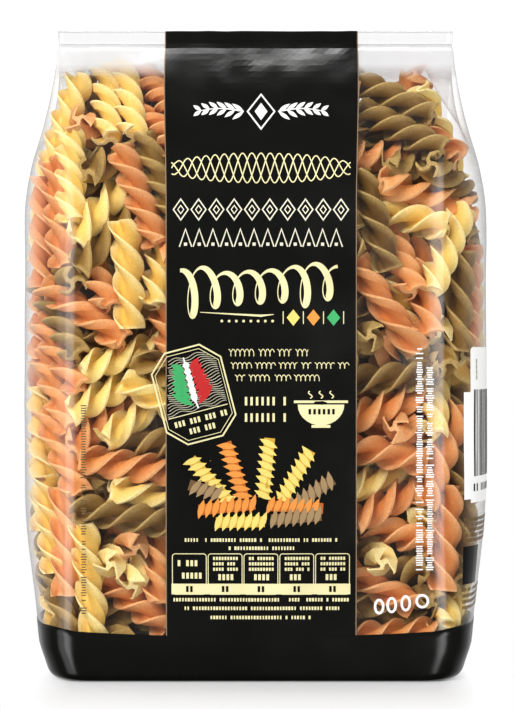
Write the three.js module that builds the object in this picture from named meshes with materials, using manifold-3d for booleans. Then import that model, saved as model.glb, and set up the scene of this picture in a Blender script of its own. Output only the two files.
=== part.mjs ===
// A 500 g packet of dry pasta, closed and full: a clear film bag with side gussets and a
// block bottom, standing on its base. The front faces -Y, and the origin is the middle of
// the base. The film's front and back panels lean together above the shoulder into a ridge,
// the gussets tuck in between them, and the sealed top is folded over and lies down the
// back. A lengthwise seal runs up the back, and the underside shows the envelope folds of
// a block bottom. The bag and what it holds are one closed solid.
import * as THREE from "three";
import { mergeVertices } from "three/addons/utils/BufferGeometryUtils.js";
import Module from "manifold-3d";

// Driving dimensions, in millimetres.
const HEIGHT = 213; // floor to the top fold
const PANEL_WIDTH = 132; // front and back panel, crease to crease
const GUSSET_DEPTH = 60; // side panel, crease to crease
const SIDE_BULGE = 11; // how far the contents push a gusset out past its creases
const PANEL_BULGE = 3.5; // the same for the front and back panels
const BASE_WIDTH = 127; // the flat block bottom
const BASE_DEPTH = 57;
const BASE_SIDE_BULGE = 8; // the base's short sides are bowed too
const BASE_ROUND = 3; // radius of the base's edge

// Heights at which the shape changes.
const FOOT_Z = 12; // the panels reach their full width here
const WAIST_Z = 62; // the gussets reach their full bulge here
const SHOULDER_Z = 150; // the panels start to lean together here
const TUCK_Z = 168; // the gussets start to tuck in here
const RIDGE_Z = 207; // the panels meet here, under the folded top

// The flattened top, its fold and the seal down the back.
const RIDGE_THICKNESS = 3.6; // four loose layers of film
const LEAN_POWER = 1.8; // 1 leans straight from shoulder to ridge, more leans late
const TUCK_DEPTH = 11; // the gusset's middle at the ridge, in from the creases
const TUCK_HALF_WIDTH = 0.3; // share of the gusset's half depth
const CREASE_ROUND = 9; // film taken up by a crease's rounding, on each side
const RIDGE_CREASE_ROUND = 1.2; // the same where the film is pressed flat
const FLAP_THICKNESS = 1.8;
const FLAP_END_Z = 184;
const FOLD_RADIUS = 2.4;
const END_SEAL_LENGTH = 10; // crimped stretch at the flap's end
const CRIMPS = 6;
const CRIMP_RELIEF = 0.4;
const BACK_SEAL_WIDTH = 11;
const BACK_SEAL_THICKNESS = 0.8;
const FOLD_GROOVE_WIDTH = 1.2; // the creases under the base
const FOLD_GROOVE_DEPTH = 0.5;

// How finely each surface is faceted.
const PANEL_STEPS = 12;
const GUSSET_STEPS = 12;
const CREASE_STEPS = 4;
const ROUND_STEPS = 3;
const WALL_STEPS = 9;
const LEAN_STEPS = 15;
const FLAP_COLUMNS = 12;
const FLAP_STEPS = 7;
const FOLD_STEPS = 6;

const EMBED = 1; // how deep a joined piece reaches into what carries it
const { lerp, smoothstep } = THREE.MathUtils;

// How far the panels have leaned together at height z: 0 at the shoulder, 1 at the ridge.
const lean = (z) => THREE.MathUtils.clamp((z - SHOULDER_Z) / (RIDGE_Z - SHOULDER_Z), 0, 1);

// How far the base's rounded edge draws the outline in at height z.
function baseInset(z) {
  const below = Math.max(BASE_ROUND - z, 0);
  return BASE_ROUND - Math.sqrt(BASE_ROUND ** 2 - below ** 2);
}

function halfWidth(z) {
  return lerp(BASE_WIDTH, PANEL_WIDTH, smoothstep(z, 0, FOOT_Z)) / 2 - baseInset(z);
}

function halfDepth(z) {
  const foot = lerp(BASE_DEPTH, GUSSET_DEPTH, smoothstep(z, 0, FOOT_Z)) / 2;
  const ridge = RIDGE_THICKNESS / 2;
  return ridge + (foot - ridge) * (1 - lean(z) ** LEAN_POWER) - baseInset(z);
}

function panelBulge(z) {
  return PANEL_BULGE * smoothstep(z, 0, WAIST_Z) * (1 - smoothstep(z, SHOULDER_Z, RIDGE_Z));
}

function sideBulge(z) {
  const full = lerp(BASE_SIDE_BULGE, SIDE_BULGE, smoothstep(z, 0, WAIST_Z));
  return full * (1 - smoothstep(z, SHOULDER_Z, RIDGE_Z));
}

// Distance of the front or back panel from the middle plane, at x and height z.
function panelY(x, z) {
  return halfDepth(z) + panelBulge(z) * (1 - (x / halfWidth(z)) ** 2);
}

// Distance of a gusset from the middle plane, at share v of its half depth and height z.
function gussetX(v, z) {
  const tuck = TUCK_DEPTH * smoothstep(z, TUCK_Z, RIDGE_Z);
  return halfWidth(z) + sideBulge(z) * (1 - v * v) - tuck * Math.exp(-((v / TUCK_HALF_WIDTH) ** 2));
}

// One horizontal section of the bag as a closed ring, anticlockwise seen from above. Each
// crease is a quadratic curve that leaves the panels a little before they would meet.
function ringAt(z) {
  const a = halfWidth(z);
  const b = halfDepth(z);
  const round = lerp(CREASE_ROUND, RIDGE_CREASE_ROUND, smoothstep(z, SHOULDER_Z, RIDGE_Z));
  const panelEnd = 1 - Math.min(round, a / 2) / a;
  const gussetEnd = 1 - Math.min(round, b / 2) / b;
  const half = [];
  for (let i = 0; i <= PANEL_STEPS; i++) {
    const x = a * panelEnd * ((2 * i) / PANEL_STEPS - 1);
    half.push(new THREE.Vector2(x, -panelY(x, z)));
  }
  const gussetStart = new THREE.Vector2(gussetX(-gussetEnd, z), -b * gussetEnd);
  half.push(...creasePoints(half.at(-1), new THREE.Vector2(a, -b), gussetStart));
  for (let i = 0; i <= GUSSET_STEPS; i++) {
    const v = gussetEnd * ((2 * i) / GUSSET_STEPS - 1);
    half.push(new THREE.Vector2(gussetX(v, z), b * v));
  }
  const backStart = new THREE.Vector2(a * panelEnd, panelY(a * panelEnd, z));
  half.push(...creasePoints(half.at(-1), new THREE.Vector2(a, b), backStart));
  const turned = half.map((p) => new THREE.Vector2(-p.x, -p.y));
  return [...half, ...turned].map((p) => new THREE.Vector3(p.x, p.y, z));
}

// The points between from and to on the curve that rounds off a crease.
function creasePoints(from, crease, to) {
  const curve = new THREE.QuadraticBezierCurve(from, crease, to);
  return curve.getPoints(CREASE_STEPS).slice(1, -1);
}

// A closed body through rings of the same number of points, with a flat cap at each end.
function loft(rings) {
  const count = rings[0].length;
  const positions = rings.flat().flatMap((p) => p.toArray());
  const faces = [];
  for (let r = 0; r + 1 < rings.length; r++) {
    for (let i = 0; i < count; i++) {
      const here = r * count + i;
      const next = r * count + ((i + 1) % count);
      faces.push(here, next, next + count, here, next + count, here + count);
    }
  }
  for (const [r, turn] of [[0, -1], [rings.length - 1, 1]]) {
    const outline = rings[r].map((p) => flatten(p, rings));
    const clockwise = THREE.ShapeUtils.isClockWise(outline);
    for (const [i, j, k] of THREE.ShapeUtils.triangulateShape(clockwise ? outline.toReversed() : outline, [])) {
      const at = (n) => r * count + (clockwise ? count - 1 - n : n);
      const flip = (turn > 0) === clockwise;
      faces.push(at(i), flip ? at(k) : at(j), flip ? at(j) : at(k));
    }
  }
  const geometry = new THREE.BufferGeometry();
  geometry.setAttribute("position", new THREE.Float32BufferAttribute(positions, 3));
  geometry.setIndex(faces);
  return geometry;
}

// A ring's point in the ring's own plane: rings here lie across Z or across X.
function flatten(point, rings) {
  const acrossX = rings[0][0].x === rings[0][1].x && rings[0][1].x === rings[0][2].x;
  return acrossX ? new THREE.Vector2(point.y, point.z) : new THREE.Vector2(point.x, point.y);
}

// The heights of the bag's rings: close together where the outline turns.
function ringHeights() {
  const steps = (from, to, count) => Array.from({ length: count }, (_, i) => lerp(from, to, i / count));
  const rounding = Array.from({ length: ROUND_STEPS }, (_, i) => {
    return BASE_ROUND * (1 - Math.cos((Math.PI / 2) * (i / ROUND_STEPS)));
  });
  return [
    ...rounding,
    ...steps(BASE_ROUND, FOOT_Z, 3),
    ...steps(FOOT_Z, SHOULDER_Z, WALL_STEPS),
    ...steps(SHOULDER_Z, RIDGE_Z, LEAN_STEPS),
    RIDGE_Z,
  ];
}

// The folded top across one column of the bag: up the front of the flattened stretch, over
// the fold, and down the back to the crimped end, then back up inside the bag.
function flapRing(x) {
  const front = -RIDGE_THICKNESS / 2;
  const foldZ = HEIGHT - FOLD_RADIUS;
  const points = [[front, RIDGE_Z - EMBED], [front, foldZ]];
  for (let i = 1; i < FOLD_STEPS; i++) {
    const angle = Math.PI * (1 - i / FOLD_STEPS);
    points.push([front + FOLD_RADIUS * (1 + Math.cos(angle)), foldZ + FOLD_RADIUS * Math.sin(angle)]);
  }
  const foldBackY = front + 2 * FOLD_RADIUS;
  const outer = (z) => Math.max(foldBackY, panelY(x, z) + FLAP_THICKNESS);
  const sealZ = FLAP_END_Z + END_SEAL_LENGTH;
  for (let i = 0; i < FLAP_STEPS; i++) {
    const z = lerp(foldZ, sealZ, i / FLAP_STEPS);
    points.push([outer(z), z]);
  }
  for (let i = 0; i <= 2 * CRIMPS; i++) {
    const z = lerp(sealZ, FLAP_END_Z, i / (2 * CRIMPS));
    points.push([outer(z) - (i % 2) * CRIMP_RELIEF, z]);
  }
  for (const z of [FLAP_END_Z, lerp(FLAP_END_Z, RIDGE_Z, 0.5), RIDGE_Z - EMBED]) {
    points.push([panelY(x, z) - EMBED, z]);
  }
  return points.map(([y, z]) => new THREE.Vector3(x, y, z));
}

function foldedTop() {
  const reach = PANEL_WIDTH / 2;
  const rings = [];
  for (let i = 0; i <= FLAP_COLUMNS; i++) rings.push(flapRing(lerp(reach, -reach, i / FLAP_COLUMNS)));
  return loft(rings);
}

// The lengthwise seal: a flat strip laid to one side of the back's middle line.
function backSeal() {
  const rings = ringHeights().filter((z) => z >= FOOT_Z && z <= RIDGE_Z - EMBED);
  return loft(
    rings.map((z) => {
      const corner = (x, lift) => new THREE.Vector3(x, panelY(x, z) + lift, z);
      return [
        corner(0, -EMBED),
        corner(BACK_SEAL_WIDTH, -EMBED),
        corner(BACK_SEAL_WIDTH, BACK_SEAL_THICKNESS),
        corner(0, BACK_SEAL_THICKNESS),
      ];
    }),
  );
}

// A shallow three-sided groove under the base, from one point to another.
function foldGroove(from, to) {
  const outline = new THREE.Shape();
  outline.moveTo(-FOLD_GROOVE_WIDTH / 2, -EMBED);
  outline.lineTo(FOLD_GROOVE_WIDTH / 2, -EMBED);
  outline.lineTo(FOLD_GROOVE_WIDTH / 2, 0);
  outline.lineTo(0, FOLD_GROOVE_DEPTH);
  outline.lineTo(-FOLD_GROOVE_WIDTH / 2, 0);
  const run = new THREE.Vector3().subVectors(to, from);
  const geometry = new THREE.ExtrudeGeometry(outline, { depth: run.length(), bevelEnabled: false });
  const along = run.clone().normalize();
  const up = new THREE.Vector3(0, 0, 1);
  const across = new THREE.Vector3().crossVectors(up, along);
  geometry.applyMatrix4(new THREE.Matrix4().makeBasis(across, up, along).setPosition(from));
  return geometry;
}

// The envelope folds: a line from near each corner to the middle seal, and the seal itself.
function baseGrooves() {
  const cornerX = BASE_WIDTH / 2 - BASE_ROUND;
  const cornerY = BASE_DEPTH / 2 - BASE_ROUND;
  const sealX = cornerX - cornerY;
  const flat = (x, y) => new THREE.Vector3(x, y, 0);
  const grooves = [foldGroove(flat(-sealX, 0), flat(sealX, 0))];
  for (const side of [-1, 1]) {
    for (const end of [-1, 1]) {
      grooves.push(foldGroove(flat(end * sealX, 0), flat(end * cornerX, side * cornerY)));
    }
  }
  return grooves;
}

// manifold-3d joins and cuts the closed bodies above.
const wasm = await Module();
wasm.setup();

function toSolid(geometry) {
  const bare = new THREE.BufferGeometry();
  bare.setAttribute("position", geometry.getAttribute("position"));
  bare.setIndex(geometry.index);
  const merged = mergeVertices(bare, 1e-4);
  return new wasm.Manifold(
    new wasm.Mesh({
      numProp: 3,
      vertProperties: new Float32Array(merged.getAttribute("position").array),
      triVerts: new Uint32Array(merged.index.array),
    }),
  );
}

function toGeometry(solid) {
  const mesh = solid.getMesh();
  const geometry = new THREE.BufferGeometry();
  geometry.setAttribute("position", new THREE.BufferAttribute(new Float32Array(mesh.vertProperties), 3));
  geometry.setIndex(new THREE.BufferAttribute(new Uint32Array(mesh.triVerts), 1));
  geometry.computeVertexNormals();
  return geometry;
}

function packetGeometry() {
  let solid = toSolid(loft(ringHeights().map(ringAt)));
  solid = solid.add(toSolid(backSeal())).add(toSolid(foldedTop()));
  for (const groove of baseGrooves()) solid = solid.subtract(toSolid(groove));
  return toGeometry(solid);
}

const film = new THREE.MeshStandardMaterial({ color: 0xd9b27a, roughness: 0.2, metalness: 0 });

const packet = new THREE.Mesh(packetGeometry(), film);
packet.name = "pasta_packet";

const group = new THREE.Group();
group.add(packet);

export default group;
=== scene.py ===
"""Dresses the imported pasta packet.

A clear film bag with side gussets and a block bottom holds three colours of dry pasta
spirals. The film carries a black base band, a black strip with pale print down the front,
a side label and fine print. Sizes are millimetres until a mesh is made, in metres.
"""

import logging
import math
from collections.abc import Callable, Sequence
from dataclasses import dataclass, field
from enum import Enum

import bpy
import numpy as np
from bpy.types import Material, Mesh, Node, NodeSocket, NodeTree, Object
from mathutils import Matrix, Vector, noise

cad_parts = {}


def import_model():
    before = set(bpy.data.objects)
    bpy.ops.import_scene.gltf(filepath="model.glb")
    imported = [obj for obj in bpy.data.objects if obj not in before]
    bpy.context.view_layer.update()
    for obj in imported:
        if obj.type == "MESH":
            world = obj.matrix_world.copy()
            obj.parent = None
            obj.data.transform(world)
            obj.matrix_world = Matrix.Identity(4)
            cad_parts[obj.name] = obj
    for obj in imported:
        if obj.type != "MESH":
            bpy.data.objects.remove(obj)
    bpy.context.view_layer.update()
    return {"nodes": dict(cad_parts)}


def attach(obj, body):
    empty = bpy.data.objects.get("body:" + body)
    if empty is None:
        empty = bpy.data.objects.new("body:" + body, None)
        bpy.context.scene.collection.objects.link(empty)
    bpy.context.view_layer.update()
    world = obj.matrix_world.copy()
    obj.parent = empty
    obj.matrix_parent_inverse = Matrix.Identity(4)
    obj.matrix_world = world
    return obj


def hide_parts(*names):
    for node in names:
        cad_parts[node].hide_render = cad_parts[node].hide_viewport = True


log = logging.getLogger("pasta_packet")

MM = 0.001
WHITE = (1.0, 1.0, 1.0, 1.0)
BODY = "root"
CAD_NODE = "pasta_packet"

Points = np.ndarray
Colour = tuple[float, float, float]
Path = Sequence[tuple[float, float]]
Outline = list[tuple[float, float]]
Faces = Sequence[Sequence[int]]
Stamp = tuple[Path, Faces]
Face = Callable[[Points, Points, Points], Points]


class Slot(Enum):
    """The record's material slots."""

    CLEAR = "clear_film"
    BLACK = "black_print"
    CREAM = "cream_print"
    WHITE = "white_print"
    YELLOW = "yellow_pasta"
    ORANGE = "orange_pasta"
    GREEN = "green_pasta"


class Dough(Enum):
    """The three colours of pasta."""

    YELLOW = 0
    ORANGE = 1
    GREEN = 2


class Ink(Enum):
    """Printing inks, as linear colours."""

    CREAM = (0.83, 0.76, 0.42)
    PALE = (0.80, 0.76, 0.60)
    TAN = (0.27, 0.185, 0.115)
    WHITE = (0.93, 0.93, 0.91)
    GREY = (0.48, 0.45, 0.33)
    BLACK = (0.006, 0.006, 0.0055)
    BROWN = (0.17, 0.11, 0.045)
    GREEN = (0.06, 0.42, 0.14)
    RED = (0.55, 0.03, 0.03)
    YELLOW_PASTA = (0.85, 0.66, 0.17)
    YELLOW_SHADE = (0.60, 0.36, 0.05)
    ORANGE_PASTA = (0.80, 0.30, 0.06)
    ORANGE_SHADE = (0.48, 0.12, 0.02)
    BROWN_PASTA = (0.36, 0.24, 0.12)
    BROWN_SHADE = (0.16, 0.09, 0.04)


class Layer(Enum):
    """How far a printed slab's underside and top stand off the film."""

    STRIP = (0.03, 0.10)
    FILM = (0.03, 0.09)
    OVER_FIELD = (0.05, 0.11)
    OVER_STRIP = (0.11, 0.17)


def smoothstep(x: Points, low: float, high: float) -> Points:
    """Rise smoothly from 0 at low to 1 at high."""
    t = np.clip((x - low) / (high - low), 0.0, 1.0)
    return t * t * (3.0 - 2.0 * t)


def blend(a: Points, b: Points, share: Points) -> Points:
    """Go from a to b by a share."""
    return a + (b - a) * share


def unit(vectors: Points) -> Points:
    """Scale each row to length one."""
    size = np.sqrt((vectors**2).sum(axis=-1, keepdims=True))
    return vectors / np.maximum(size, 1e-12)


@dataclass(frozen=True)
class BagShape:
    """The filled bag's outline, by the same rules as the frame's solid."""

    height: float = 213.0
    panel_width: float = 132.0
    gusset_depth: float = 60.0
    side_bulge: float = 11.0
    panel_bulge: float = 3.5
    base_width: float = 127.0
    base_depth: float = 57.0
    base_side_bulge: float = 5.4
    base_round: float = 3.0
    foot_z: float = 12.0
    waist_z: float = 62.0
    shoulder_z: float = 150.0
    tuck_z: float = 168.0
    ridge_z: float = 208.6
    ridge_thickness: float = 3.6
    lean_power: float = 1.8
    tuck_depth: float = 11.0
    tuck_half_width: float = 0.3
    crease_round: float = 9.0
    ridge_crease_round: float = 1.2

    def base_inset(self, z: Points) -> Points:
        """How far the base's rounded edge draws the outline in."""
        below = np.maximum(self.base_round - z, 0.0)
        return self.base_round - np.sqrt(np.maximum(self.base_round**2 - below**2, 0.0))

    def half_width(self, z: Points) -> Points:
        """Half the front panel's width."""
        foot = smoothstep(z, 0.0, self.foot_z)
        return blend(self.base_width, self.panel_width, foot) / 2 - self.base_inset(z)

    def half_depth(self, z: Points) -> Points:
        """Half the distance between the front and back creases."""
        foot = smoothstep(z, 0.0, self.foot_z)
        full = blend(self.base_depth, self.gusset_depth, foot) / 2
        ridge = self.ridge_thickness / 2
        lean = np.clip((z - self.shoulder_z) / (self.ridge_z - self.shoulder_z), 0.0, 1.0)
        return ridge + (full - ridge) * (1 - lean**self.lean_power) - self.base_inset(z)

    def panel_y(self, x: Points, z: Points) -> Points:
        """Distance of the front or back panel from the middle plane."""
        slack = 1 - smoothstep(z, self.shoulder_z, self.ridge_z)
        bulge = self.panel_bulge * smoothstep(z, 0.0, self.waist_z) * slack
        return self.half_depth(z) + bulge * (1 - (x / self.half_width(z)) ** 2)

    def gusset_x(self, v: Points, z: Points) -> Points:
        """Distance of a gusset from the middle, at share v of its half depth."""
        slack = 1 - smoothstep(z, self.shoulder_z, self.ridge_z)
        waist = smoothstep(z, 0.0, self.waist_z)
        bulge = blend(self.base_side_bulge, self.side_bulge, waist) * slack
        tuck = self.tuck_depth * smoothstep(z, self.tuck_z, self.ridge_z)
        return self.half_width(z) + bulge * (1 - v * v) - tuck * np.exp(-((v / self.tuck_half_width) ** 2))

    def panel_reach(self, z: Points) -> Points:
        """How far from the middle a panel goes before its crease rounds off."""
        a = self.half_width(z)
        return a - np.minimum(self.rounding(z), a / 2)

    def rounding(self, z: Points) -> Points:
        """Film taken up by a crease's rounding."""
        return blend(self.crease_round, self.ridge_crease_round, smoothstep(z, self.shoulder_z, self.ridge_z))

    def wall(self, u: Points, z: Points) -> Points:
        """Points of the bag's wall.

        Args:
            u: place round the bag, front face from 0 to 2, its right crease to 3, the
                right gusset to 5, the back crease to 6, and the same again to 12.
            z: heights.

        Returns:
            An array of points, one row for each u and z.
        """
        u, z = np.broadcast_arrays(np.mod(np.asarray(u, float), 12.0), np.asarray(z, float))
        turn = np.where(u >= 6.0, -1.0, 1.0)
        w = np.where(u >= 6.0, u - 6.0, u)
        a, b = self.half_width(z), self.half_depth(z)
        reach = self.panel_reach(z)
        end = 1 - np.minimum(self.rounding(z), b / 2) / b
        x_panel = reach * (np.clip(w, 0.0, 2.0) - 1)
        v = end * (np.clip(w, 3.0, 5.0) - 4)
        corner_y = self.panel_y(reach, z)
        corner_x = self.gusset_x(end, z)
        t, s = np.clip(w - 2, 0.0, 1.0), np.clip(w - 5, 0.0, 1.0)
        x = np.select(
            [w <= 2, w < 3, w <= 5],
            [
                x_panel,
                (1 - t) ** 2 * reach + 2 * t * (1 - t) * a + t * t * corner_x,
                self.gusset_x(v, z),
            ],
            (1 - s) ** 2 * corner_x + 2 * s * (1 - s) * a + s * s * reach,
        )
        y = np.select(
            [w <= 2, w < 3, w <= 5],
            [
                -self.panel_y(x_panel, z),
                -((1 - t) ** 2 * corner_y + 2 * t * (1 - t) * b + t * t * b * end),
                b * v,
            ],
            (1 - s) ** 2 * b * end + 2 * s * (1 - s) * b + s * s * corner_y,
        )
        return np.stack([turn * x, turn * y, z], axis=-1)


@dataclass(frozen=True)
class FilmRelief:
    """The film's own unevenness: it dents between pieces and puckers below the fold."""

    dent: float = 0.22
    dent_size: float = 17.0
    pucker: float = 0.24
    pucker_width: float = 7.0
    pucker_length: float = 30.0
    pucker_z: float = 165.0
    full_pucker_z: float = 200.0
    flat_z: float = 4.0

    def height(self, points: Points) -> Points:
        """How far the film stands out at each point, by the point's resting place."""
        z = points[..., 2]
        flat = points.reshape(-1, 3)
        dents = [noise.noise(Vector(p) / self.dent_size) for p in flat]
        stretch = np.array([self.pucker_width, self.pucker_width, self.pucker_length])
        shift = Vector((31.0, 7.0, 11.0))
        puckers = [noise.noise(Vector(p) + shift) for p in flat / stretch]
        dents = np.array(dents).reshape(z.shape)
        puckers = np.array(puckers).reshape(z.shape)
        rise = smoothstep(z, self.pucker_z, self.full_pucker_z)
        foot = smoothstep(z, self.flat_z, 3 * self.flat_z)
        return foot * (self.dent * (1 - rise) * dents + self.pucker * rise * puckers)


@dataclass(frozen=True)
class FilmSurface:
    """The film's face: the bag's outline with its relief, and the folded top."""

    bag: BagShape = BagShape()
    relief: FilmRelief = FilmRelief()
    fold_radius: float = 2.4
    fold_square: float = 0.28
    flap_thickness: float = 1.8
    flap_end_z: float = 184.0
    fold_reach: float = 66.0

    @property
    def fold_z(self) -> float:
        """Height of the fold's centre."""
        return self.bag.height - self.fold_radius

    @property
    def fold_ways(self) -> Points:
        """Ways along the front path that follow the fold's curve."""
        return np.linspace(self.fold_z, self.fold_z + math.pi * self.fold_radius, 25)

    @property
    def front_length(self) -> float:
        """Length of the way up the front, over the fold and down to the flap's end."""
        return self.fold_z + math.pi * self.fold_radius + self.fold_z - self.flap_end_z

    def front_u(self, x: Points, z: Points) -> Points:
        """Place round the bag of a point on the front panel."""
        return 1 + x / self.bag.panel_reach(z)

    def side_u(self, run: Points) -> Points:
        """Place round the bag, by the way along the film from the right front crease."""
        u = np.linspace(2.0, 6.0, 161)
        ring = self.bag.wall(u, np.full_like(u, 100.0))
        steps = np.sqrt((np.diff(ring, axis=0) ** 2).sum(axis=1))
        ways = np.concatenate([[0.0], np.cumsum(steps)])
        return np.interp(run, ways - np.interp(2.5, u, ways), u)

    def _lifted(self, place: Callable[[Points, Points], Points], a: Points, b: Points, lift: float,
                step_a: float, step_b: float) -> Points:
        """Points of a surface moved out along its normal by its relief and a lift."""
        across = place(a + step_a, b) - place(a - step_a, b)
        along = place(a, b + step_b) - place(a, b - step_b)
        normal = unit(np.cross(across, along))
        points = place(a, b)
        return points + normal * (self.relief.height(points) + lift)[..., None]

    def wall(self, u: Points, z: Points, lift: float = 0.0) -> Points:
        """Points on the bag's wall, out from the film by lift."""
        u, z = np.broadcast_arrays(np.asarray(u, float), np.asarray(z, float))
        return self._lifted(self.bag.wall, u, z, lift, 0.01, 0.2)

    def front(self, x: Points, s: Points, lift: float = 0.0) -> Points:
        """Points up the front, over the fold and down the flap, at way s along."""
        x, s = np.broadcast_arrays(np.asarray(x, float), np.asarray(s, float))
        return self._lifted(self._front_path, x, s, lift, 0.2, 0.1)

    def _front_path(self, x: Points, s: Points) -> Points:
        """The way up the front without relief."""
        bag = self.bag
        wall = bag.wall(self.front_u(x, np.minimum(s, bag.ridge_z)), np.minimum(s, bag.ridge_z))
        front_y = -bag.ridge_thickness / 2
        arc = np.clip((s - self.fold_z) / self.fold_radius, 0.0, math.pi)
        down = np.maximum(s - self.fold_z - math.pi * self.fold_radius, 0.0)
        z = np.minimum(s, self.fold_z) - down + self.fold_radius * np.abs(np.sin(arc)) ** self.fold_square
        turned = np.sign(np.cos(arc)) * np.abs(np.cos(arc)) ** self.fold_square
        fold_y = front_y + self.fold_radius * (1 - turned)
        back_y = np.maximum(fold_y, bag.panel_y(x, np.minimum(z, bag.ridge_z)) + self.flap_thickness)
        y = np.where(down > 0, back_y, fold_y)
        top = np.stack([x, y, z], axis=-1)
        return np.where((s <= bag.ridge_z)[..., None], wall, top)

    def side(self, run: Points, z: Points, lift: float = 0.0) -> Points:
        """Points on the right side, by the way round from its front crease."""
        return self.wall(self.side_u(run), z, lift)

    def back(self, x: Points, z: Points, lift: float = 0.0) -> Points:
        """Points on the back panel, out from the film by lift."""
        x, z = np.broadcast_arrays(np.asarray(x, float), np.asarray(z, float))
        return self.wall(7 - x / self.bag.panel_reach(z), z, lift)


def live_socket(sockets: bpy.types.bpy_prop_collection, key: str | int) -> NodeSocket:
    """The socket in use that has this name, or the one at this number."""
    if isinstance(key, int):
        return sockets[key]
    return next(s for s in sockets if s.name == key and s.enabled)


class NodeWeaver:
    """Adds nodes to one tree and joins their sockets."""

    def __init__(self, tree: NodeTree) -> None:
        """Work on this tree."""
        self.tree = tree

    def add(
        self, kind: str, values: dict[str | int, object] | None = None, **settings: object
    ) -> Node:
        """Add one node.

        Args:
            kind: the node's type.
            values: what goes into each input, a value, a node or a node's output.
            settings: the node's own properties.

        Returns:
            The node.
        """
        node = self.tree.nodes.new(kind)
        for name, value in settings.items():
            setattr(node, name, value)
        for key, value in (values or {}).items():
            self.feed(live_socket(node.inputs, key), value)
        return node

    def feed(self, socket: NodeSocket, value: object) -> None:
        """Join an output, or a node's first output, to the socket, or set its value."""
        if isinstance(value, Node):
            value = value.outputs[0]
        if isinstance(value, NodeSocket):
            self.tree.links.new(value, socket)
        else:
            socket.default_value = value

    def math(self, operation: str, *values: object) -> NodeSocket:
        """Add a Math node and return its output."""
        return self.add("ShaderNodeMath", dict(enumerate(values)), operation=operation).outputs[0]

    def vector(self, operation: str, *values: object, result: str = "Vector") -> NodeSocket:
        """Add a Vector Math node and return one of its outputs."""
        node = self.add("ShaderNodeVectorMath", dict(enumerate(values)), operation=operation)
        return node.outputs[result]

    def bump(self, strength: float, distance: float, height: NodeSocket) -> NodeSocket:
        """Add a Bump node, its distance in millimetres, and return the bent normal."""
        values = {"Strength": strength, "Distance": distance * MM, "Height": height}
        return self.add("ShaderNodeBump", values).outputs["Normal"]

    def grey(self, level: NodeSocket) -> NodeSocket:
        """Make a grey of some level."""
        parts = dict.fromkeys(("Red", "Green", "Blue"), level)
        return self.add("ShaderNodeCombineColor", parts).outputs[0]

    def realize(self, copies: Node, material: NodeSocket) -> None:
        """End a Geometry Nodes tree: make its copies real and give them a material."""
        solid = self.add("GeometryNodeRealizeInstances", {"Geometry": copies})
        values = {"Geometry": solid, "Material": material}
        dressed = self.add("GeometryNodeSetMaterial", values)
        self.add("NodeGroupOutput", {"Geometry": dressed})

    def cover(self, share: object, under: Node, over: Node) -> Node:
        """Mix two shaders by the share of the upper one."""
        return self.add("ShaderNodeMixShader", {0: share, 1: under, 2: over})

    def mix(self, share: object, a: object, b: object, kind: str = "MIX") -> NodeSocket:
        """Mix two colours and return the result."""
        node = self.add(
            "ShaderNodeMix", {"Factor": share}, data_type="RGBA", blend_type=kind, clamp_factor=True
        )
        self.feed(live_socket(node.inputs, "A"), a)
        self.feed(live_socket(node.inputs, "B"), b)
        return live_socket(node.outputs, "Result")

    def noise(self, place: object, scale: object, detail: float = 2.0) -> NodeSocket:
        """Add a noise texture and return its grey value."""
        values = {"Vector": place, "Scale": scale, "Detail": detail}
        return self.add("ShaderNodeTexNoise", values).outputs["Fac"]

    def spread(self, value: object, low: float, high: float, to_low: object, to_high: object) -> NodeSocket:
        """Map a value from one range to another, held at both ends."""
        return self.add(
            "ShaderNodeMapRange",
            {"Value": value, "From Min": low, "From Max": high, "To Min": to_low, "To Max": to_high},
        ).outputs["Result"]


def node_group(name: str, kind: str, inputs: dict[str, str], outputs: dict[str, str]) -> NodeTree:
    """Make an empty node group.

    Args:
        name: the group's name.
        kind: the tree's type.
        inputs: name to socket type of each input.
        outputs: name to socket type of each output.

    Returns:
        The group.
    """
    group = bpy.data.node_groups.new(name, kind)
    for label, socket in inputs.items():
        group.interface.new_socket(name=label, in_out="INPUT", socket_type=socket)
    for label, socket in outputs.items():
        group.interface.new_socket(name=label, in_out="OUTPUT", socket_type=socket)
    return group


FLOAT = "NodeSocketFloat"
WHOLE = "NodeSocketInt"
COLOUR = "NodeSocketColor"

# Noise scales, in turns a metre, and the ripples' depth in millimetres.
DOUGH_PATCHES = 130.0
FILM_RUBS = 45.0
FILM_RIPPLES = 160.0
RIPPLE_DEPTH = 0.25


def pasta_grain_group() -> NodeTree:
    """Colour, roughness and height of dry pasta, from each mesh's tint and rim attributes."""
    group = node_group(
        "pasta grain",
        "ShaderNodeTree",
        {"Main": COLOUR, "Deep": COLOUR, "Rim": COLOUR, "Grain": FLOAT},
        {"Colour": COLOUR, "Roughness": FLOAT, "Height": FLOAT},
    )
    weaver = NodeWeaver(group)
    given = weaver.add("NodeGroupInput").outputs
    tint = weaver.add("ShaderNodeAttribute", attribute_name="tint").outputs["Fac"]
    rim = weaver.add("ShaderNodeAttribute", attribute_name="rim").outputs["Fac"]
    place = weaver.add("ShaderNodeTexCoord").outputs["Object"]
    patches = weaver.noise(place, DOUGH_PATCHES, 2.0)
    grain = weaver.noise(place, given["Grain"], 3.0)
    depth = weaver.math("ADD", tint, weaver.spread(patches, 0.35, 0.65, -0.22, 0.22))
    colour = weaver.mix(depth, given["Main"], given["Deep"])
    edge = weaver.math("MULTIPLY", rim, weaver.spread(grain, 0.3, 0.6, 0.45, 0.8))
    colour = weaver.mix(edge, colour, given["Rim"])
    speckle = weaver.spread(grain, 0.3, 0.7, 0.90, 1.07)
    colour = weaver.mix(1.0, colour, weaver.grey(speckle), "MULTIPLY")
    rough = weaver.spread(patches, 0.3, 0.7, 0.38, 0.56)
    weaver.add("NodeGroupOutput", {"Colour": colour, "Roughness": rough, "Height": grain})
    return group


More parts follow.
